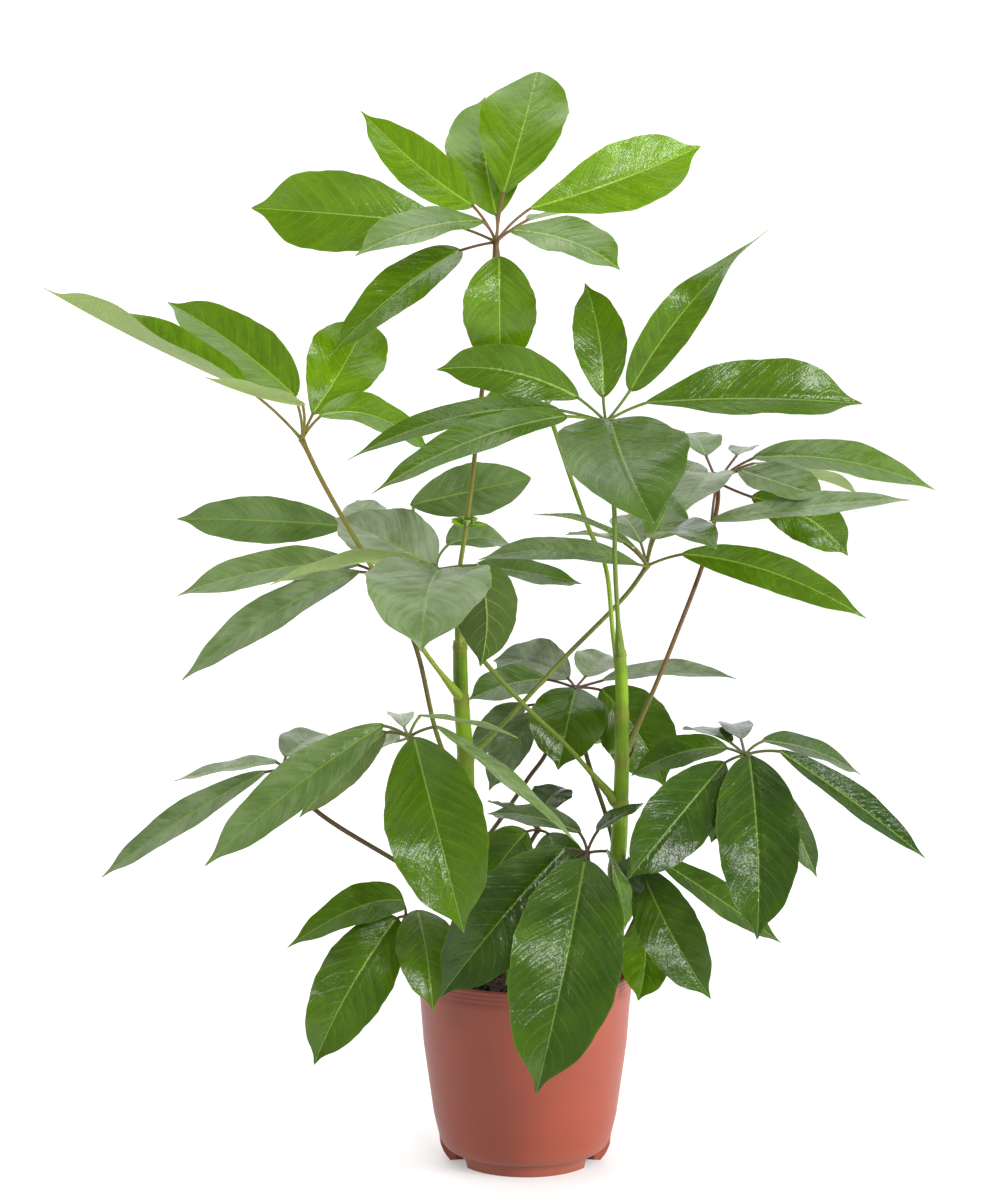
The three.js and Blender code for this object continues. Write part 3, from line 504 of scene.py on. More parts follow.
LEAFLET_STALK_RADIUS = 1.45
LEAFLET_STALK_PLACES = 16
LEAFLET_STALK_SIDES = 10
STALK_BITE = 2.5
STALK_RADIUS = 2.35
STALK_PLACES = 64
STALK_SIDES = 16
STALK_RIDGES = 5
SHEATH_RADIUS = 5.2
SHEATH_START = 0.82
KNOB_RADIUS = 3.3
KNOB_PLACES = 13
KNOB_SIDES = 24
KNOB_SWELLINGS = 8
KNOB_SWELLING_DEPTH = 0.07
# How far a stipule's foot and tip stand out from the stem's axis, and how far it bulges past the
# line between them.
STIPULE_FOOT = 6.4
STIPULE_TIP = 13.28
STIPULE_BULGE = 4
STIPULE_HEIGHT = 15
STIPULE_HALF_WIDTH = 3.4
STIPULE_HALF_THICKNESS = 0.4
STIPULE_ROWS = 14
STIPULE_COLUMNS = 9
STIPULE_END = 0.995
TUFT_COUNT = 16
TUFT_TONE = 1.6
TUFT_START = 2.4
TUFT_LONGEST = 17
TUFT_SHORTENING = 0.7
TUFT_WIDTH = 7


def outline(along, peak, pull):
    """Half-width along a blade as a share of its widest: sin(pi x along^peak)^0.72, round at the
    base, times a narrowing by pull that draws it out to a thin point."""
    oval = np.sin(math.pi * along**peak) ** 0.72
    drawn_out = 1 - pull * smooth_step(0.8, 1, along)
    drip_tip = 1 - 0.6 * pull * smooth_step(0.86, 0.96, along)
    return oval * drawn_out * drip_tip


def vein_phase(along, across, lean, curve, pairs):
    """Counts the side veins: each whole number is a vein. A vein leaves the midrib and leans to the
    tip by lean x |across| + curve x |across| squared. The two sides alternate by half a count."""
    away = np.abs(across)
    return (along - lean * away - curve * away**2) * pairs + 0.5 * (across > 0)


def blade(surface, leaflet, look, number, rows=BLADE_ROWS, half_columns=BLADE_HALF_COLUMNS):
    """The blade of one leaflet as a closed thin shell. Gives back its base and the midrib's way
    there.

    Its midrib is a curve from base to tip. A point stands off it by across x half-width to the side,
    and is lifted by half-width x (fold x |across|^1.2 + wave x |across|^1.6), plus pillows between
    the side veins and a groove over the midrib. The underside lies a blade's thickness below, with
    the midrib's ridge. number shifts the waves.

    In the mesh, the second number of a blade's look is half its painted sheen, a pale painted
    reflection, and 1 on the underside.
    """
    start, end = leaflet.base, leaflet.tip
    elbow = (start + end) / 2 + 2 * np.array(leaflet.bow)
    even = np.linspace(0, 1, rows)
    along = 0.75 * even + 0.25 * (0.5 - 0.5 * np.cos(math.pi * even))
    along[0] = BLADE_START
    along[-1] = BLADE_END
    centre, tangent = bezier(start, elbow, end, along)
    normal = square_to(tangent, unit(np.array(leaflet.facing)))
    side = np.cross(tangent, normal)
    turn = leaflet.twist * smooth_step(TWIST_START, 1, along)[:, None]
    normal = normal * np.cos(turn) + side * np.sin(turn)
    side = np.cross(tangent, normal)

    share = np.linspace(-1, 1, 2 * half_columns + 1)
    u = along[:, None]
    v = np.sign(share) * np.abs(share) ** COLUMN_CROWDING
    away = np.abs(v)
    phase = GOLDEN_ANGLE * number
    half = 0.5 * leaflet.width * outline(u, leaflet.peak, leaflet.pull)
    ragged = sum(depth * sway(turns, u, shift * phase) for depth, turns, shift in RIM_WAVES)
    out = v * half * (1 + ragged * away**3 * smooth_step(0.05, 0.3, u))
    wave = WAVE_HEIGHT * sway(WAVE_TURNS, u, phase + 1.1 * np.sign(v))
    lift = half * (leaflet.fold * away**1.2 + wave * away**1.6)

    length = np.linalg.norm(end - start)
    slant = 0.5 * leaflet.width / length
    veins = (VEIN_SLOPE * slant, VEIN_CURVE * slant, max(4, round(length / VEIN_SPACING)))
    pillow = np.cos(2 * math.pi * vein_phase(u, v, *veins)) * np.sin(math.pi * away**0.8)
    pillow = pillow * smooth_step(0.03, 0.2, u) * (1 - smooth_step(0.82, 0.97, u))
    lift = lift - PILLOW_HEIGHT * half * pillow
    near_rib = bell(v * half, RIB_WIDTH) * np.minimum(1, half / 6)
    wall = BLADE_THICKNESS / 2 * (1 - EDGE_THINNING * away**4)
    upper = lift + wall - GROOVE_DEPTH * near_rib * (1 - u)
    under = lift - wall - RIB_HEIGHT * near_rib * (1 - 0.85 * u)
    points, faces = shell(
        beside(centre, side, out, normal, upper),
        beside(centre, side, out, normal, under),
    )
    size = len(points) // 2
    spots = np.tile(np.stack(np.broadcast_arrays(u, v, half), axis=-1).reshape(-1, 3), (2, 1))
    tone, _, chance = look
    looks = np.tile([tone, 0.5 * leaflet.bloom, chance], (2 * size, 1))
    looks[size:, 1] = 1
    rim = np.ones((2, rows, len(v)), bool)
    rim[:, 1:-1, 1:-1] = False
    surface.add(points, faces, 0, spots, looks, veins, rim.ravel())
    return centre[0], tangent[0]


def leaflet_stalk(surface, hub, base, tangent, look):
    """The thin stalk from the knob to a blade, thicker at both ends: a curve that comes in along
    the midrib, and is the straighter the more the blade turns away from the stalk."""
    reach = np.linalg.norm(base - hub)
    t = np.linspace(0, 1, LEAFLET_STALK_PLACES)
    ahead = max(0, tangent @ (base - hub) / reach)
    middle = (hub + base) / 2
    elbow = middle + 0.45 * ahead * (base - tangent * 0.45 * reach - middle)
    path, _ = bezier(hub, elbow, base + tangent * STALK_BITE, t)
    radii = LEAFLET_STALK_RADIUS * (1 + 0.35 * bell(t, 0.12) + 0.18 * bell(1 - t, 0.1))
    radii = radii * (1 - 0.35 * smooth_step(0.93, 1, t))
    points, faces, along, turn = tube(path, radii, LEAFLET_STALK_SIDES)
    spots = np.stack([0.25 * (1 - along), turn, 0 * turn], axis=1)
    surface.add(points, faces, 1, spots, look)


def stipule(surface, foot, way, look):
    """A small pointed scale where a leaf stalk meets the stem: a narrow blade that leans out and
    up from the stem. Its half-width is that at its foot x (1 - along)^0.7."""
    start = foot + STIPULE_FOOT * way
    tip = foot + STIPULE_TIP * way + np.array([0, 0, STIPULE_HEIGHT])
    along = np.linspace(0.01, STIPULE_END, STIPULE_ROWS)
    across = np.linspace(-1, 1, STIPULE_COLUMNS)
    centre, tangent = bezier(start, (start + tip) / 2 + STIPULE_BULGE * way, tip, along)
    normal = square_to(tangent, way)
    side = np.cross(tangent, normal)
    half = STIPULE_HALF_WIDTH * (1 - along[:, None]) ** 0.7
    lift = 0.5 * half * (1 - across**2)
    points, faces = shell(
        beside(centre, side, half * across, normal, lift + STIPULE_HALF_THICKNESS),
        beside(centre, side, half * across, normal, lift - STIPULE_HALF_THICKNESS),
    )
    surface.add(points, faces, 1, (0.85, 0, 0), look)


def knob(surface, hub, look):
    """The lump where the leaflets meet: a sphere with shallow swellings round it."""
    rise = np.linspace(-0.5 * math.pi, 0.5 * math.pi, KNOB_PLACES)
    path = hub + np.outer(KNOB_RADIUS * np.sin(rise), UP)
    radii = np.maximum(KNOB_RADIUS * np.cos(rise), 0.05)
    swell = KNOB_SWELLING_DEPTH * np.cos(KNOB_SWELLINGS * ring_angles(KNOB_SIDES))
    points, faces, _, _ = tube(path, radii, KNOB_SIDES, swell)
    surface.add(points, faces, 1, (0.08, 0, 0), look)


def tuft(surface, middle):
    """A tuft of tiny young leaflets on a leaf stalk: small blades that spread from one place, each
    turned from the last by the golden angle."""
    for number in range(TUFT_COUNT):
        turn = GOLDEN_ANGLE * number
        way = unit(np.array([math.cos(turn), -0.8 * abs(math.sin(turn)), 0.1 + 0.09 * number]))
        base = middle + TUFT_START * way
        tip = base + (TUFT_LONGEST - TUFT_SHORTENING * number) * way
        small = Leaflet(base, tip, (0, -0.5, 1.2), TUFT_WIDTH, (0.2, -1, 0.7))
        blade(surface, small, (TUFT_TONE, 0, 0.5), number, rows=16, half_columns=3)


def compound_leaf(leaf):
    """One leaf: stalk with its sheath, stipule, knob, and each leaflet with its own stalk."""
    surface = Surface()
    random = np.random.default_rng(sum(map(ord, leaf.name)))
    route = place(leaf.stalk)
    hub = route[0]
    path = catmull_rom(route, STALK_PLACES)
    t = np.linspace(0, 1, STALK_PLACES)
    radii = STALK_RADIUS + (SHEATH_RADIUS - STALK_RADIUS) * smooth_step(SHEATH_START, 1, t)
    radii = radii + 0.9 * bell(t, 0.02)
    ridges = 0.03 * np.cos(STALK_RIDGES * ring_angles(STALK_SIDES))
    points, faces, along, turn = tube(path, radii, STALK_SIDES, ridges)
    look = (leaf.tone, leaf.red, 0.5)
    surface.add(points, faces, 1, np.stack([along, turn, 0 * turn], axis=1), look)
    knob(surface, hub, look)
    away = (route[-2] - route[-1]) * (1, 1, 0)
    if np.linalg.norm(away) > 1:
        stipule(surface, path[-1], unit(away), look)
    for number, leaflet in enumerate(leaf.leaflets):
        look = (leaf.tone + leaflet.tone, leaf.red, random.uniform())
        placed = leaflet._replace(base=place(leaflet.base), tip=place(leaflet.tip))
        base, tangent = blade(surface, placed, look, number)
        leaflet_stalk(surface, hub, base, tangent, look)
    if leaf.tuft:
        tuft(surface, place(leaf.tuft))
    return surface


# Stems.
STEM_PLACES = 220
STEM_SIDES = 40
STEM_RIDGES = 9
JOINT_SWELL = 0.7
JOINT_HALF_HEIGHT = 3.2
JOINT_GROOVE = 0.25
JOINT_GROOVE_ABOVE = 7
JOINT_BROWN_REACH = 9


def stem(shape, joints):
    """A stem: a round skin along its route, with a ring-shaped swelling at the height of each leaf,
    a groove above it, faint ridges and a little unevenness all over."""
    path = catmull_rom(place(shape["route"]), STEM_PLACES)
    t = np.linspace(0, 1, STEM_PLACES)
    radii = np.interp(t, np.linspace(0, 1, len(shape["radii"])), shape["radii"])
    for joint in joints:
        above = path[:, 2] - joint
        radii = radii + JOINT_SWELL * bell(above, JOINT_HALF_HEIGHT)
        radii = radii - JOINT_GROOVE * bell(above - JOINT_GROOVE_ABOVE, 2)
    turn = ring_angles(STEM_SIDES) / (2 * math.pi)
    bump = 0.02 * lattice_noise(turn, t[:, None], 7, 26, 5)
    bump = bump + 0.006 * np.cos(2 * math.pi * STEM_RIDGES * turn)
    points, faces, along, around = tube(path, radii, STEM_SIDES, bump)
    closeness = np.max([bell(points[:, 2] - joint, JOINT_BROWN_REACH) for joint in joints], axis=0)
    surface = Surface()
    surface.add(points, faces, 0, np.stack([along, around, closeness], axis=1), (0.6, 0, 0.5))
    return surface


def turned(profile, angle, shape):
    """A closed turned skin: a profile of [radius, height] from the axis back to the axis, carried
    round it to each angle from the front. shape moves the points, given as a grid of profile x
    angles, and says how much painted shade each one gets."""
    radius, height = (column[1:-1, None] * np.ones(len(angle)) for column in np.transpose(profile))
    radius, height, painted_shade = shape(radius, height, angle)
    grid = np.stack([radius * np.sin(angle), -radius * np.cos(angle), height], axis=-1)
    low = [0, 0, height[0].mean()]
    high = [0, 0, height[-1].mean()]
    points = np.vstack([grid.reshape(-1, 3), [low], [high]])
    return points, closed_faces(len(height), len(angle)), np.concatenate([painted_shade.ravel(), [0, 0]])


# Pot. An outline is a list of [radius, height], and the lip's is measured from the rim's radius and
# the pot's height.
POT_HEIGHT = 185
POT_RIM_RADIUS = 106
POT_WALL = 2.2
POT_WALL_STEPS = 110
POT_INNER_STEPS = 60
POT_ANGLE_STEP = 1.25
LIP_RING_HEIGHT = 160.5
FOOT_GROOVE_HEIGHT = 10
FOOT_HEIGHT = 7.5
FOOT_INNER_RADIUS = 61
FOOT_OUTER_RADIUS = 84
# Inside this radius the foot in a notch gets painted shade.
NOTCH_SHADE_RADIUS = 71
FLOOR_TOP = 10.5
NOTCH_ANGLES = (66, 114, 246, 294)
NOTCH_HALF_ANGLE = 11.3
NOTCH_HEIGHT = 13
LEG_ANGLES = (90, 270)
LEG_HALF_ANGLE = 12.2
EDGE_HALF_ANGLE = 0.12
LEG_TOP = 24
LEG_INNER_RADIUS = 68
LEG_OUTSIDE = [(76, 0), (80, 5), (82.5, 9), (85, 15), (86, LEG_TOP)]
POT_OUTSIDE = [(70, 0), (72, 8.5), (75, 11), (81, 14), (85, 20), (91.2, 45), (101.4, 115), (105, 160),
               (POT_RIM_RADIUS, 166)]
POT_UNDERSIDE = [(0, 0), (8, 0), (15.5, 0), (16, 0.5), (16.6, FOOT_HEIGHT), (30, FOOT_HEIGHT),
                 (50, FOOT_HEIGHT), (61, FOOT_HEIGHT), (62, FOOT_HEIGHT - 0.4), (62.8, 0.4), (63.2, 0),
                 (66, 0), (69.6, 0)]
POT_INSIDE_TOP = [(103.6, 183), (103.8, 166)]
POT_FLOOR = [(72.5, FLOOR_TOP), (40, FLOOR_TOP), (0, FLOOR_TOP)]
POT_LIP = [(0, -17), (0, -13), (-0.3, -12), (0, -11), (0, -9), (-0.4, -8), (0.1, -7), (0.1, -5),
           (-0.3, -4), (0.2, -3), (0.2, -1.4), (-0.2, -0.4), (-1, 0), (-1.8, -0.2), (-2.4, -1)]


def rounded(corners, count):
    """A line through the corners in count even steps, each corner rounded by averaging with its
    neighbours three times. The ends stay."""
    line = even_steps(corners, count)
    for _ in range(3):
        line[1:-1] = 0.25 * line[:-2] + 0.5 * line[1:-1] + 0.25 * line[2:]
    return line


def near(angle, middles, half_angle):
    """1 where an angle in radians is within half_angle of one of the middles, which are degrees,
    and 0 beyond."""
    away = np.abs((np.degrees(angle)[:, None] - np.array(middles) + 180) % 360 - 180).min(axis=1)
    return (away < half_angle).astype(float)


def pot_surface():
    """The pot's shell: foot, tapered wall, rolled lip with fine ridges, and the inside back down."""
    wall = rounded(POT_OUTSIDE, POT_WALL_STEPS)
    ring = 0.35 * bell(wall[:, 1] - LIP_RING_HEIGHT, 0.7)
    groove = 0.5 * bell(wall[:, 1] - FOOT_GROOVE_HEIGHT, 0.8)
    wall[:, 0] += ring - groove
    lip = np.array(POT_LIP) + (POT_RIM_RADIUS, POT_HEIGHT)
    inside = [(radius - POT_WALL, height) for radius, height in POT_OUTSIDE[::-1] if height > FLOOR_TOP + 1]
    inner = rounded(POT_INSIDE_TOP + inside + POT_FLOOR[:1], POT_INNER_STEPS)
    profile = np.vstack([POT_UNDERSIDE, wall, lip, inner, POT_FLOOR[1:]])
    outside_rows = len(POT_UNDERSIDE) + len(wall)
    leg_radii, leg_heights = np.transpose(LEG_OUTSIDE)

    def footed(radius, height, angle):
        """Lifts the foot off the ground across each notch, and widens it to a leg between the two
        notches at each side. The inside of a notch gets painted shade, near black."""
        notch = near(angle, NOTCH_ANGLES, NOTCH_HALF_ANGLE)
        leg = near(angle, LEG_ANGLES, LEG_HALF_ANGLE)
        low = height < NOTCH_HEIGHT
        foot = low & (radius > FOOT_INNER_RADIUS) & (radius < FOOT_OUTER_RADIUS)
        outside = (np.arange(len(radius)) < outside_rows)[:, None]
        outer = outside & (radius > LEG_INNER_RADIUS) & (height < LEG_TOP)
        widened = np.maximum(radius, np.interp(height, leg_heights, leg_radii))
        # The inside of each notch, which is painted near black as painted shade.
        painted_shade = notch * foot * (radius < NOTCH_SHADE_RADIUS)
        radius = np.where(outer, radius + leg * (widened - radius), radius)
        height = np.where(foot, np.maximum(height, NOTCH_HEIGHT * notch), height)
        return radius, height, painted_shade

    edges = [middle + way * half
             for middles, half in ((NOTCH_ANGLES, NOTCH_HALF_ANGLE), (LEG_ANGLES, LEG_HALF_ANGLE))
             for middle in middles
             for way in (-1, 1)]
    fine = [edge + step for edge in edges for step in (-EDGE_HALF_ANGLE, EDGE_HALF_ANGLE)]
    angle = np.radians(np.sort(np.concatenate([np.arange(0, 360, POT_ANGLE_STEP), fine])))
    points, faces, painted_shades = turned(profile, angle, footed)
    surface = Surface()
    surface.add(points, faces, 0, (0, 0, 0), np.outer(painted_shades, (0, 1, 0)))
    return surface


# Soil.
SOIL_HEIGHT = 166
SOIL_RADIUS = 102
SOIL_EDGE_DROP = 7.5
SOIL_RINGS = 90
SOIL_SIDES = 260
# Unevenness of the top: lattice cells round it, height, seed.
SOIL_LUMPS = ((24, 1.5, 1), (60, 1.1, 2), (130, 0.8, 3))
SOIL_SIDE = [(0, 11), (40, 11), (72, 11.2), (80.5, 20), (88.7, 45), (98.9, 115), (SOIL_RADIUS, 157)]
CRUMB_COUNT = 420
CRUMB_REACH = 96
CRUMB_SIZES = (0.9, 3.2)
CRUMB_ROWS = 5
CRUMB_SIDES = 7


def ground(reach):
    """The height of the smooth soil at a distance from the pot's axis: level, and lower at the
    wall."""
    return SOIL_HEIGHT - SOIL_EDGE_DROP * smooth_step(70, SOIL_RADIUS, reach)


def soil_surface():
    """The soil plug: smooth where the pot hides it, and uneven on top, with loose crumbs."""
    top = [(radius, ground(radius)) for radius in np.linspace(101, 1, SOIL_RINGS)]
    profile = np.vstack([SOIL_SIDE, top, [(0, SOIL_HEIGHT)]])

    def crumbled(radius, height, angle):
        """Adds three sizes of unevenness to the top, each finer and lower than the last."""
        turn = angle / (2 * math.pi)
        share = radius / SOIL_RADIUS
        rough = np.zeros(radius.shape)
        for cells, size, seed in SOIL_LUMPS:
            rough = rough + size * lattice_noise(turn, share, cells, cells // 3, seed)
        upper = smooth_step(150, 158.5, height) * smooth_step(103, 98, radius)
        return radius, height + (rough - 1.2) * upper * smooth_step(0, 0.1, share), 0 * radius

    points, faces, _ = turned(profile, ring_angles(SOIL_SIDES), crumbled)
    surface = Surface()
    surface.add(points, faces, 0, (0, 0, 0), (0, 0, 0.5))
    random = np.random.default_rng(11)
    for _ in range(CRUMB_COUNT):
        reach = CRUMB_REACH * math.sqrt(random.uniform(0.02, 1))
        turn = random.uniform(0, 2 * math.pi)
        size = random.uniform(*CRUMB_SIZES)
        height = ground(reach) - 1 + 0.3 * size
        crumb(surface, [reach * math.cos(turn), reach * math.sin(turn), height], size, random)
    return surface


def crumb(surface, middle, size, random):
    """A loose crumb: a small ball of a few rings of points, stretched and dented at random."""
    rise = np.linspace(-1.35, 1.35, CRUMB_ROWS)[:, None]
    around = ring_angles(CRUMB_SIDES)
    stretch = random.uniform(0.55, 1.5, 3) * size
    dents = random.uniform(0.8, 1.15, (CRUMB_ROWS, CRUMB_SIDES))
    x = np.cos(rise) * np.cos(around) * dents
    y = np.cos(rise) * np.sin(around) * dents
    z = np.sin(rise) * np.ones(CRUMB_SIDES)
    ball = np.vstack([np.stack([x, y, z], axis=-1).reshape(-1, 3), [(0, 0, -1)], [(0, 0, 1)]])
    faces = closed_faces(CRUMB_ROWS, CRUMB_SIDES)
    surface.add(middle + ball * stretch, faces, 0, (0, 0, 0), (0, 0, random.uniform()))


class Wire:
    """A shader socket that takes + - * / and abs, each of which adds a Math node."""

    def __init__(self, finish, socket):
        self.finish = finish
        self.socket = socket

    def __add__(self, other):
        return self.finish.math("ADD", self, other)

    def __radd__(self, other):
        return self.finish.math("ADD", other, self)

    def __sub__(self, other):
        return self.finish.math("SUBTRACT", self, other)

    def __rsub__(self, other):
        return self.finish.math("SUBTRACT", other, self)

    def __mul__(self, other):
        return self.finish.math("MULTIPLY", self, other)

    def __rmul__(self, other):
        return self.finish.math("MULTIPLY", other, self)

    def __truediv__(self, other):
        return self.finish.math("DIVIDE", self, other)

    def __abs__(self):
        return self.finish.math("ABSOLUTE", self, 0)


class Finish:
    """A material or world that is put together node by node."""

    def __init__(self, owner):
        self.owner = owner
        owner.use_nodes = True
        self.tree = owner.node_tree
        self.tree.nodes.clear()

    def node(self, kind, settings=None, inputs=None, output=0):
        """Adds a node: its settings, then the values or wires of its inputs. Gives back one of its
        outputs."""
        made = self.tree.nodes.new(kind)
        for key, value in (settings or {}).items():
            setattr(made, key, value)
        for key, value in (inputs or {}).items():
            if isinstance(value, Wire):
                self.tree.links.new(value.socket, made.inputs[key])
            else:
                made.inputs[key].default_value = value
        return Wire(self, made.outputs[output])

    def math(self, operation, first, second):
        """A number worked out from two others."""
        return self.node("ShaderNodeMath", {"operation": operation}, {0: first, 1: second})

    def mixed(self, share, first, second):
        """A colour between two, as plain colours or wires."""
        first, second = ((*c, 1) if isinstance(c, tuple) else c for c in (first, second))
        return self.node("ShaderNodeMix", {"data_type": "RGBA"}, {0: share, 6: first, 7: second}, 2)

    def scaled(self, colour, factor):
        """A colour made brighter or darker by a factor."""
        return self.node("ShaderNodeVectorMath", {"operation": "SCALE"}, {0: colour, "Scale": factor})

    def between(self, value, low, high, first=0.0, second=1.0):
        """A value carried smoothly from first at low to second at high."""
        settings = {"interpolation_type": "SMOOTHSTEP"}
        return self.node("ShaderNodeMapRange", settings, {0: value, 1: low, 2: high, 3: first, 4: second})

    def noise(self, spot, scale, detail=3.0, roughness=0.5):
        """Cloudy noise about 0.5 that has scale lumps to a unit of length."""
        inputs = {"Vector": spot, "Scale": scale, "Detail": detail, "Roughness": roughness}
        return self.node("ShaderNodeTexNoise", None, inputs)

    def cells(self, spot, scale, feature="F1"):
        """Distance in a pattern of cells: from a cell's middle, or from its edge."""
        return self.node("ShaderNodeTexVoronoi", {"feature": feature}, {"Vector": spot, "Scale": scale})

    def stretched(self, spot, scale):
        """The place with each of its three numbers scaled."""
        return self.node("ShaderNodeMapping", None, {"Vector": spot, "Scale": scale})

    def split(self, vector):
        """The three numbers of a vector."""
        return [self.node("ShaderNodeSeparateXYZ", None, {0: vector}, k) for k in range(3)]

    def parts(self, name):
        """The three numbers of one of the piece's own attributes."""
        return self.split(self.node("ShaderNodeAttribute", {"attribute_name": name}, None, 1))

    def spot(self):
        """The place on the piece, in metres."""
        return self.node("ShaderNodeTexCoord", None, None, 3)

    def bump(self, height, distance, strength, under=None):
        """Relief from a height, on top of the relief given as under."""
        inputs = {"Strength": strength, "Distance": distance, "Height": height}
        if under:
            inputs["Normal"] = under
        return self.node("ShaderNodeBump", None, inputs)

    def ended(self, shader, kind):
        """Wires the shader to an output node, and gives back the material or world."""
        end = self.tree.nodes.new(kind)
        self.tree.links.new(shader.socket, end.inputs["Surface"])
        return self.owner

    def surface(self, **inputs):
        """The material with its shader. Underscores in a name stand for spaces."""
        named = {key.replace("_", " "): value for key, value in inputs.items()}
        return self.ended(self.node("ShaderNodeBsdfPrincipled", None, named), "ShaderNodeOutputMaterial")


# Colours, as the light they send back.
DARK_GREEN = (0.011, 0.028, 0.002)
MIDDLE_GREEN = (0.048, 0.1, 0.002)
FRESH_GREEN = (0.1, 0.2, 0.001)
VEIN_DARK = (0.09, 0.15, 0.02)
VEIN_FRESH = (0.22, 0.36, 0.03)
# A pale painted reflection: the painted sheen mixed into the green of some leaflets.
PAINTED_SHEEN_GREEN = (0.2, 0.25, 0.15)
UNDER_DARK = (0.032, 0.06, 0.002)
UNDER_FRESH = (0.21, 0.28, 0.09)
UNDER_VEIN = (0.24, 0.33, 0.08)
STALK_BROWNS = (0.045, 0.018, 0.006), (0.13, 0.062, 0.02)
STALK_GREENS = (0.045, 0.075, 0.006), (0.13, 0.2, 0.012)
SHEATH_GREEN = (0.14, 0.19, 0.02)
STEM_GREENS = (0.055, 0.11, 0.002), (0.125, 0.215, 0.004)
OLD_STEM = (0.07, 0.065, 0.015)
JOINT_BROWN = (0.11, 0.085, 0.02)
PALE_PORE = (0.2, 0.22, 0.06)
TERRACOTTAS = (0.157, 0.0275, 0.013), (0.203, 0.039, 0.019)
# Near-black painted shade for the insides of the foot's notches.
PALE_DUST = (0.32, 0.15, 0.1)
PAINTED_NOTCH_SHADE = (0.012, 0.007, 0.005)
SOIL_BROWNS = (0.008, 0.005, 0.003), (0.055, 0.03, 0.016)
BARK = (0.12, 0.065, 0.03)
PALE_GRAIN = (0.3, 0.25, 0.19)


def leaf_finish():
    """Waxy leaf: its green goes by the leaf's tone, with pale midrib and side veins, painted light and
    shade of ridges between them, a fine net of small veins in the relief, a pale painted sheen on
    some leaflets, and a duller, paler underside."""
    finish = Finish(bpy.data.materials.new("waxy_leaf"))
    along, across, half = finish.parts("spot")
    tone, side, chance = finish.parts("look")
    lean, curve, pairs = finish.parts("vein")
    spot = finish.spot()
    away = abs(across)
    under = finish.between(side, 0.6, 0.9)
    # Where the upper side gets painted sheen, a pale painted reflection.
    bloom = 2 * side * (1 - under)
    cloud = finish.noise(spot, 28.0, 2.0)
    grain = finish.noise(spot, 260.0, 3.0)

    # Where the veins are.
    phase = (along - lean * away - curve * away * away) * pairs
    phase = phase + 0.5 * finish.math("GREATER_THAN", across, 0.0)
    phase = phase + 0.9 * (cloud - 0.5) * away + 0.25 * (chance - 0.5)
    from_vein = finish.math("PINGPONG", phase, 0.5)
    before_tip = finish.between(along, 0.84, 0.96, 1.0, 0.0)
    vein = finish.between(from_vein, 0.0, 0.05, 1.0, 0.0)
    vein = vein * finish.between(away, 0.25, 0.95, 1.0, 0.2) * before_tip
    furrow = finish.between(from_vein, 0.0, 0.14, 1.0, 0.0) * before_tip
    rib = finish.between(away * half / (1.3 - 0.95 * along), 0.35, 1.1, 1.0, 0.0)
    by_rib = finish.between(away * half, 1.0, 6.0, 1.0, 0.0)
    by_edge = finish.between(away, 0.0, 0.3) * finish.between(along, 0.5, 0.85, 1.0, 0.0)
    banded = finish.node("ShaderNodeCombineXYZ", None, {0: 2.0 * phase, 1: 1.4 * away, 2: 17.0 * chance})
    bands = finish.noise(banded, 1.0, 3.0, 0.6)

    # Colour of the upper side, then of the underside.
    shade = tone + 0.24 * (chance - 0.5) + 0.3 * (cloud - 0.5)
    green = finish.mixed(finish.between(shade, 0.0, 0.55), DARK_GREEN, MIDDLE_GREEN)
    green = finish.mixed(finish.between(shade, 0.45, 1.05), green, FRESH_GREEN)
    green = finish.scaled(green, 0.84 + 0.32 * grain)
    # Painted light and shade: the green made lighter and darker in bands between the side veins, as on
    # ridges.
    green = finish.scaled(green, 1 + finish.between(bands, 0.34, 0.64, -0.14, 0.12) * by_edge)
    # Painted sheen: the pale painted reflection mixed into the green in patches.
    sheen_patches = finish.between(0.5 * bands + 0.5 * cloud, 0.36, 0.64, 0.45, 1.25)
    green = finish.mixed(bloom * sheen_patches, green, PAINTED_SHEEN_GREEN)
    freshness = finish.between(shade, 0.1, 1.0)
    pale_vein = finish.mixed(freshness, VEIN_DARK, VEIN_FRESH)
    green = finish.mixed(0.3 * vein, green, pale_vein)
    green = finish.mixed(0.85 * rib, green, pale_vein)
    pale = finish.mixed(freshness, UNDER_DARK, UNDER_FRESH)
    pale = finish.mixed(0.3 * vein + 0.6 * rib, pale, UNDER_VEIN)
    pale = finish.scaled(pale, 0.88 + 0.24 * grain)
    colour = finish.mixed(under, green, pale)
    colour = finish.mixed(0.2 * finish.between(away, 0.95, 1.0), colour, pale_vein)

    # Relief: soft swellings first, then the net, the furrows and the rib.
    net = finish.between(finish.cells(spot, 230.0, "DISTANCE_TO_EDGE"), 0.0, 0.2)
    pucker = finish.noise(spot, 190.0, 1.0) * by_rib
    swell = finish.noise(spot, 60.0, 1.5)
    normal = finish.bump(swell + 0.9 * pucker + 0.7 * bands * by_edge, 0.002, 0.5)
    normal = finish.bump(0.4 * net + 0.15 * grain - 0.7 * furrow - 0.9 * rib, 0.00024, 0.5, normal)
    dullness = 0.16 + 0.1 * finish.noise(spot, 45.0, 3.0) + 0.3 * under + 0.15 * bloom + 0.05 * vein
    return finish.surface(Base_Color=colour, Roughness=dullness, Normal=normal, Specular_IOR_Level=0.27)


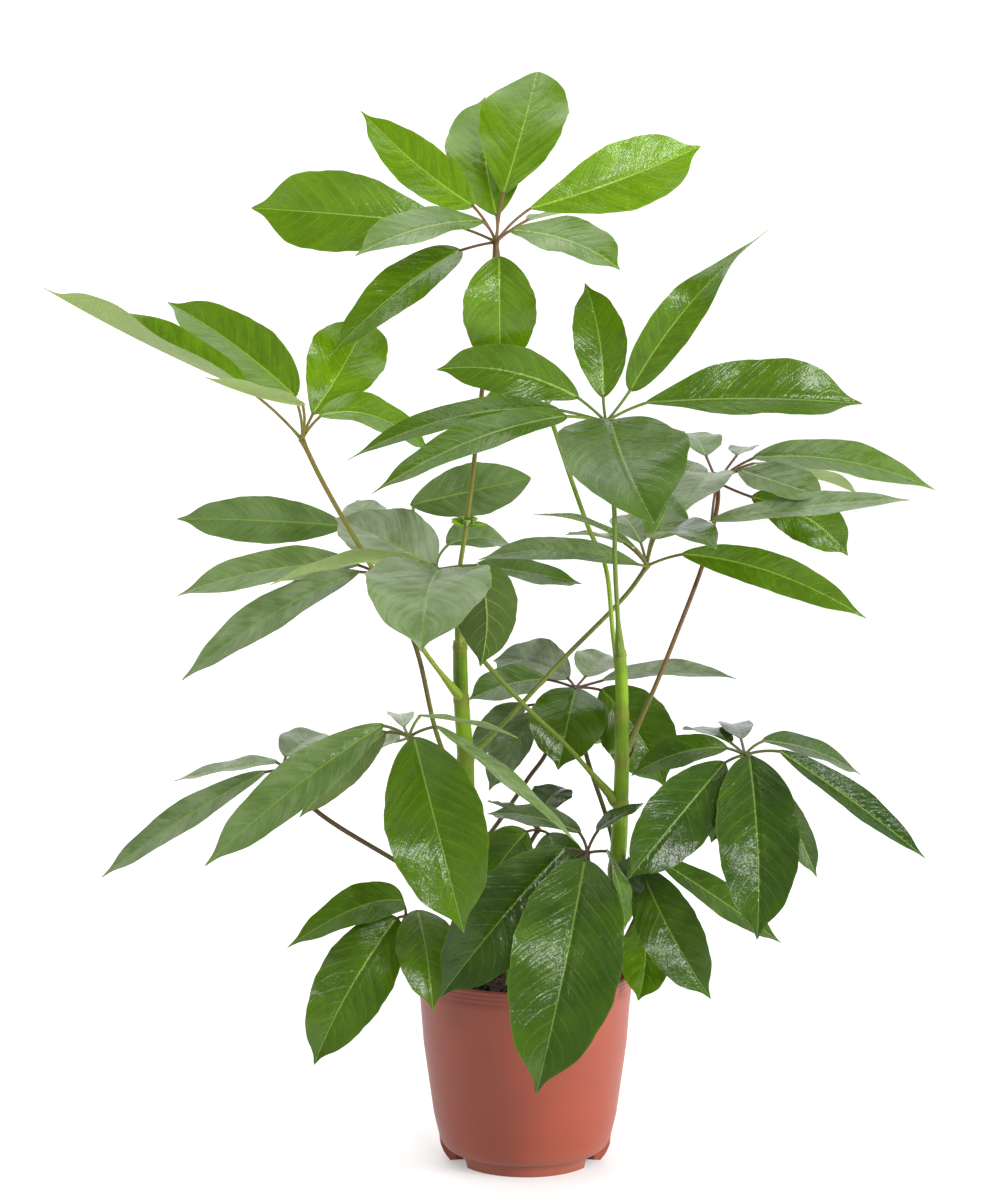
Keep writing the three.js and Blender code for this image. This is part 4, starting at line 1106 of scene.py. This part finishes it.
def stalk_finish():
    """Leaf stalk: green near the stem and reddish brown towards the leaflets, with fine streaks."""
    finish = Finish(bpy.data.materials.new("leaf_stalk"))
    along, _, _ = finish.parts("spot")
    tone, red, _ = finish.parts("look")
    spot = finish.spot()
    streak = finish.noise(spot, 90.0, 4.0, 0.6)
    speck = finish.noise(spot, 600.0, 2.0)
    freshness = finish.between(tone, 0.2, 0.9)
    brown = finish.mixed(freshness, *STALK_BROWNS)
    green = finish.mixed(freshness, *STALK_GREENS)
    reach = red * (1.15 - 0.8 * (along + 0.5 * (streak - 0.5)))
    colour = finish.mixed(finish.between(reach, 0.0, 0.75), green, brown)
    colour = finish.mixed(0.35 * finish.between(along, 0.93, 1.0), colour, SHEATH_GREEN)
    colour = finish.scaled(colour, 0.75 + 0.5 * speck)
    normal = finish.bump(streak + 0.4 * speck, 0.0005, 0.5)
    dullness = 0.38 + 0.15 * speck
    return finish.surface(Base_Color=colour, Roughness=dullness, Normal=normal, Specular_IOR_Level=0.3)


def stem_finish():
    """Young stem: bright green, browner at the leaf joints and near the soil, with fine upright
    streaks and small pale breathing pores."""
    finish = Finish(bpy.data.materials.new("green_stem"))
    along, _, joint = finish.parts("spot")
    spot = finish.spot()
    streak = finish.noise(finish.stretched(spot, (1.0, 1.0, 0.12)), 330.0, 4.0, 0.6)
    cloud = finish.noise(spot, 34.0, 2.0)
    pore = finish.between(finish.cells(spot, 230.0), 0.1, 0.22, 1.0, 0.0)
    colour = finish.mixed(finish.between(cloud + 0.3 * streak, 0.35, 0.95), *STEM_GREENS)
    age = finish.between(along, 0.0, 0.45, 0.75, 0.0)
    colour = finish.mixed(0.45 * age, colour, OLD_STEM)
    colour = finish.mixed(0.9 * joint * streak, colour, JOINT_BROWN)
    colour = finish.mixed(0.4 * pore, colour, PALE_PORE)
    colour = finish.scaled(colour, 0.82 + 0.36 * streak)
    normal = finish.bump(streak + 0.6 * pore, 0.0005, 0.6)
    dullness = 0.34 + 0.2 * streak
    return finish.surface(Base_Color=colour, Roughness=dullness, Normal=normal, Specular_IOR_Level=0.25)


def pot_finish():
    """Moulded terracotta-coloured plastic: satin, with faint rings from the mould, cloudy patches,
    a little dust near the foot, and near-black painted shade inside the notches of the foot."""
    finish = Finish(bpy.data.materials.new("pot_plastic"))
    spot = finish.spot()
    _, painted_shade, _ = finish.parts("look")
    _, _, height = finish.split(spot)
    cloud = finish.noise(spot, 14.0, 3.0)
    rings = finish.noise(finish.stretched(spot, (0.15, 0.15, 1.0)), 420.0, 3.0, 0.6)
    grain = finish.noise(spot, 900.0, 2.0)
    scuff = finish.between(finish.noise(spot, 60.0, 5.0, 0.7), 0.6, 0.78)
    colour = finish.mixed(cloud, *TERRACOTTAS)
    dust = finish.between(height, 0.0, 0.035, 0.3, 0.0) * cloud
    colour = finish.mixed(dust + 0.1 * scuff, colour, PALE_DUST)
    colour = finish.scaled(colour, 0.93 + 0.14 * grain)
    # Painted shade, near black, inside the notches of the foot.
    colour = finish.mixed(0.93 * painted_shade, colour, PAINTED_NOTCH_SHADE)
    normal = finish.bump(rings, 0.0003, 0.35)
    normal = finish.bump(grain, 0.00012, 0.4, normal)
    dullness = 0.36 + 0.16 * cloud + 0.1 * scuff
    return finish.surface(Base_Color=colour, Roughness=dullness, Normal=normal, Specular_IOR_Level=0.4)


def soil_finish():
    """Potting soil: dark brown, with lighter bark crumbs and a few pale grains."""
    finish = Finish(bpy.data.materials.new("potting_soil"))
    _, _, chance = finish.parts("look")
    spot = finish.spot()
    lumps = finish.noise(spot, 160.0, 6.0, 0.65)
    fine = finish.noise(spot, 900.0, 3.0)
    colour = finish.mixed(finish.between(lumps, 0.3, 0.75), *SOIL_BROWNS)
    colour = finish.mixed(finish.between(chance, 0.55, 0.95, 0.0, 0.7), colour, BARK)
    colour = finish.mixed(0.35 * finish.between(fine, 0.68, 0.76), colour, PALE_GRAIN)
    normal = finish.bump(lumps + 0.4 * fine, 0.0025, 0.9)
    return finish.surface(Base_Color=colour, Roughness=0.9, Normal=normal, Specular_IOR_Level=0.25)


# The plant.
waxy_leaf = leaf_finish()
leaf_stalk = stalk_finish()
for leaf in LEAVES:
    compound_leaf(leaf).build(leaf.name, [waxy_leaf, leaf_stalk], "leaf")
green_stem = stem_finish()
for name, shape in STEMS.items():
    joints = [place(leaf.stalk)[-1, 2] for leaf in LEAVES if leaf.trunk == name]
    stem(shape, joints).build(name, [green_stem], "stem")
pot_surface().build("pot", [pot_finish()], "pot_plastic")
soil_surface().build("soil", [soil_finish()], "soil")


# Floor, light and camera. Lengths here are metres.
FLOOR_RINGS = (0.4, 1, 2, 4, 8, 16, 32, 60)
FLOOR_SIDES = 96
NEAR_FLOOR_GLOW = 0.2
FAR_FLOOR_GLOW = 0.6
FRONT_STRENGTH = 0.3
BACK_STRENGTH = 1.25
LEFT_SHARE = 1.25
RIGHT_SHARE = 0.8


def floor_disc():
    """A wide flat round floor: rings of points at growing distances from the middle."""
    angle = ring_angles(FLOOR_SIDES)
    reach = np.array(FLOOR_RINGS)[:, None]
    points = np.stack([reach * np.cos(angle), reach * np.sin(angle), 0 * reach * angle], axis=-1)
    faces = strip_faces(len(FLOOR_RINGS), FLOOR_SIDES, around=True)[:, ::-1]
    mesh = bpy.data.meshes.new("floor")
    mesh.from_pydata(points.reshape(-1, 3).tolist(), [], [list(range(FLOOR_SIDES))] + faces.tolist())
    finish = Finish(bpy.data.materials.new("pale_floor"))
    distance = finish.node("ShaderNodeVectorMath", {"operation": "LENGTH"}, {0: finish.spot()}, 1)
    glow = finish.between(distance, 0.2, 2.2, NEAR_FLOOR_GLOW, FAR_FLOOR_GLOW)
    glow = finish.scaled((1, 1, 1), glow)
    grey = (0.68, 0.68, 0.68, 1)
    pale = finish.surface(Base_Color=grey, Roughness=0.6, Emission_Color=glow, Emission_Strength=1.0)
    mesh.materials.append(pale)
    floor = bpy.data.objects.new("floor", mesh)
    bpy.context.scene.collection.objects.link(floor)


def studio_world():
    """White where it is looked at. What it sheds on the plant is bright from the white backdrop
    behind and over it, less so from the front, and a little more from the left than the right."""
    studio = Finish(bpy.data.worlds.new("studio"))
    x, y, _ = studio.split(studio.node("ShaderNodeTexCoord"))
    shed = studio.between(y, -0.5, 0.25, FRONT_STRENGTH, BACK_STRENGTH)
    shed = shed * studio.between(x, -0.6, 0.6, LEFT_SHARE, RIGHT_SHARE)
    looked_at = studio.node("ShaderNodeLightPath")
    inputs = {"Color": (1, 1, 1, 1), "Strength": studio.math("MAXIMUM", shed, looked_at)}
    backdrop = studio.node("ShaderNodeBackground", None, inputs)
    bpy.context.scene.world = studio.ended(backdrop, "ShaderNodeOutputWorld")


def soft_light(name, spot, target, width, height, power, mirrored=True):
    """A rectangular soft light that looks at a target. One that isn't mirrored leaves no shine."""
    data = bpy.data.lights.new(name, "AREA")
    data.shape = "RECTANGLE"
    data.size = width
    data.size_y = height
    data.energy = power
    lamp = bpy.data.objects.new(name, data)
    bpy.context.scene.collection.objects.link(lamp)
    lamp.location = spot
    lamp.visible_glossy = mirrored
    lamp.rotation_mode = "QUATERNION"
    lamp.rotation_quaternion = Vector(np.subtract(target, spot)).to_track_quat("-Z", "Y")


floor_disc()
studio_world()
soft_light("front", (0.55, -2.0, 1.55), (0, 0, 0.6), 0.42, 0.42, 18)
soft_light("front_right", (1.25, -1.5, 1.4), (0, 0, 0.4), 0.36, 0.36, 12)
soft_light("front_fill", (-0.9, -2.2, 1.2), (0, 0, 0.7), 0.9, 0.9, 16, mirrored=False)
soft_light("right_side", (2.1, -0.7, 0.9), (0, 0, 0.4), 0.8, 1.0, 15, mirrored=False)
soft_light("pot_side", (1.2, -0.5, 0.22), (0, 0, 0.06), 0.4, 0.3, 24, mirrored=False)
soft_light("left_side", (-2.3, -0.7, 1.5), (0, 0, 0.6), 0.8, 1.2, 16, mirrored=False)
soft_light("overhead", (0.1, 0.1, 3.5), (0, 0, 0.5), 2.6, 2.2, 46)
bpy.context.scene.view_settings.view_transform = "Standard"

camera_data = bpy.data.cameras.new("photo_view")
camera_data.sensor_fit = "VERTICAL"
camera_data.sensor_width = 36
camera_data.sensor_height = 36
camera_data.lens = 54
camera = bpy.data.objects.new("photo_view", camera_data)
camera.location = (EYE_ACROSS * MM, -EYE_DISTANCE * MM, EYE_HEIGHT * MM)
camera.rotation_euler = (math.radians(90), 0, 0)
bpy.context.scene.collection.objects.link(camera)
bpy.context.scene.camera = camera
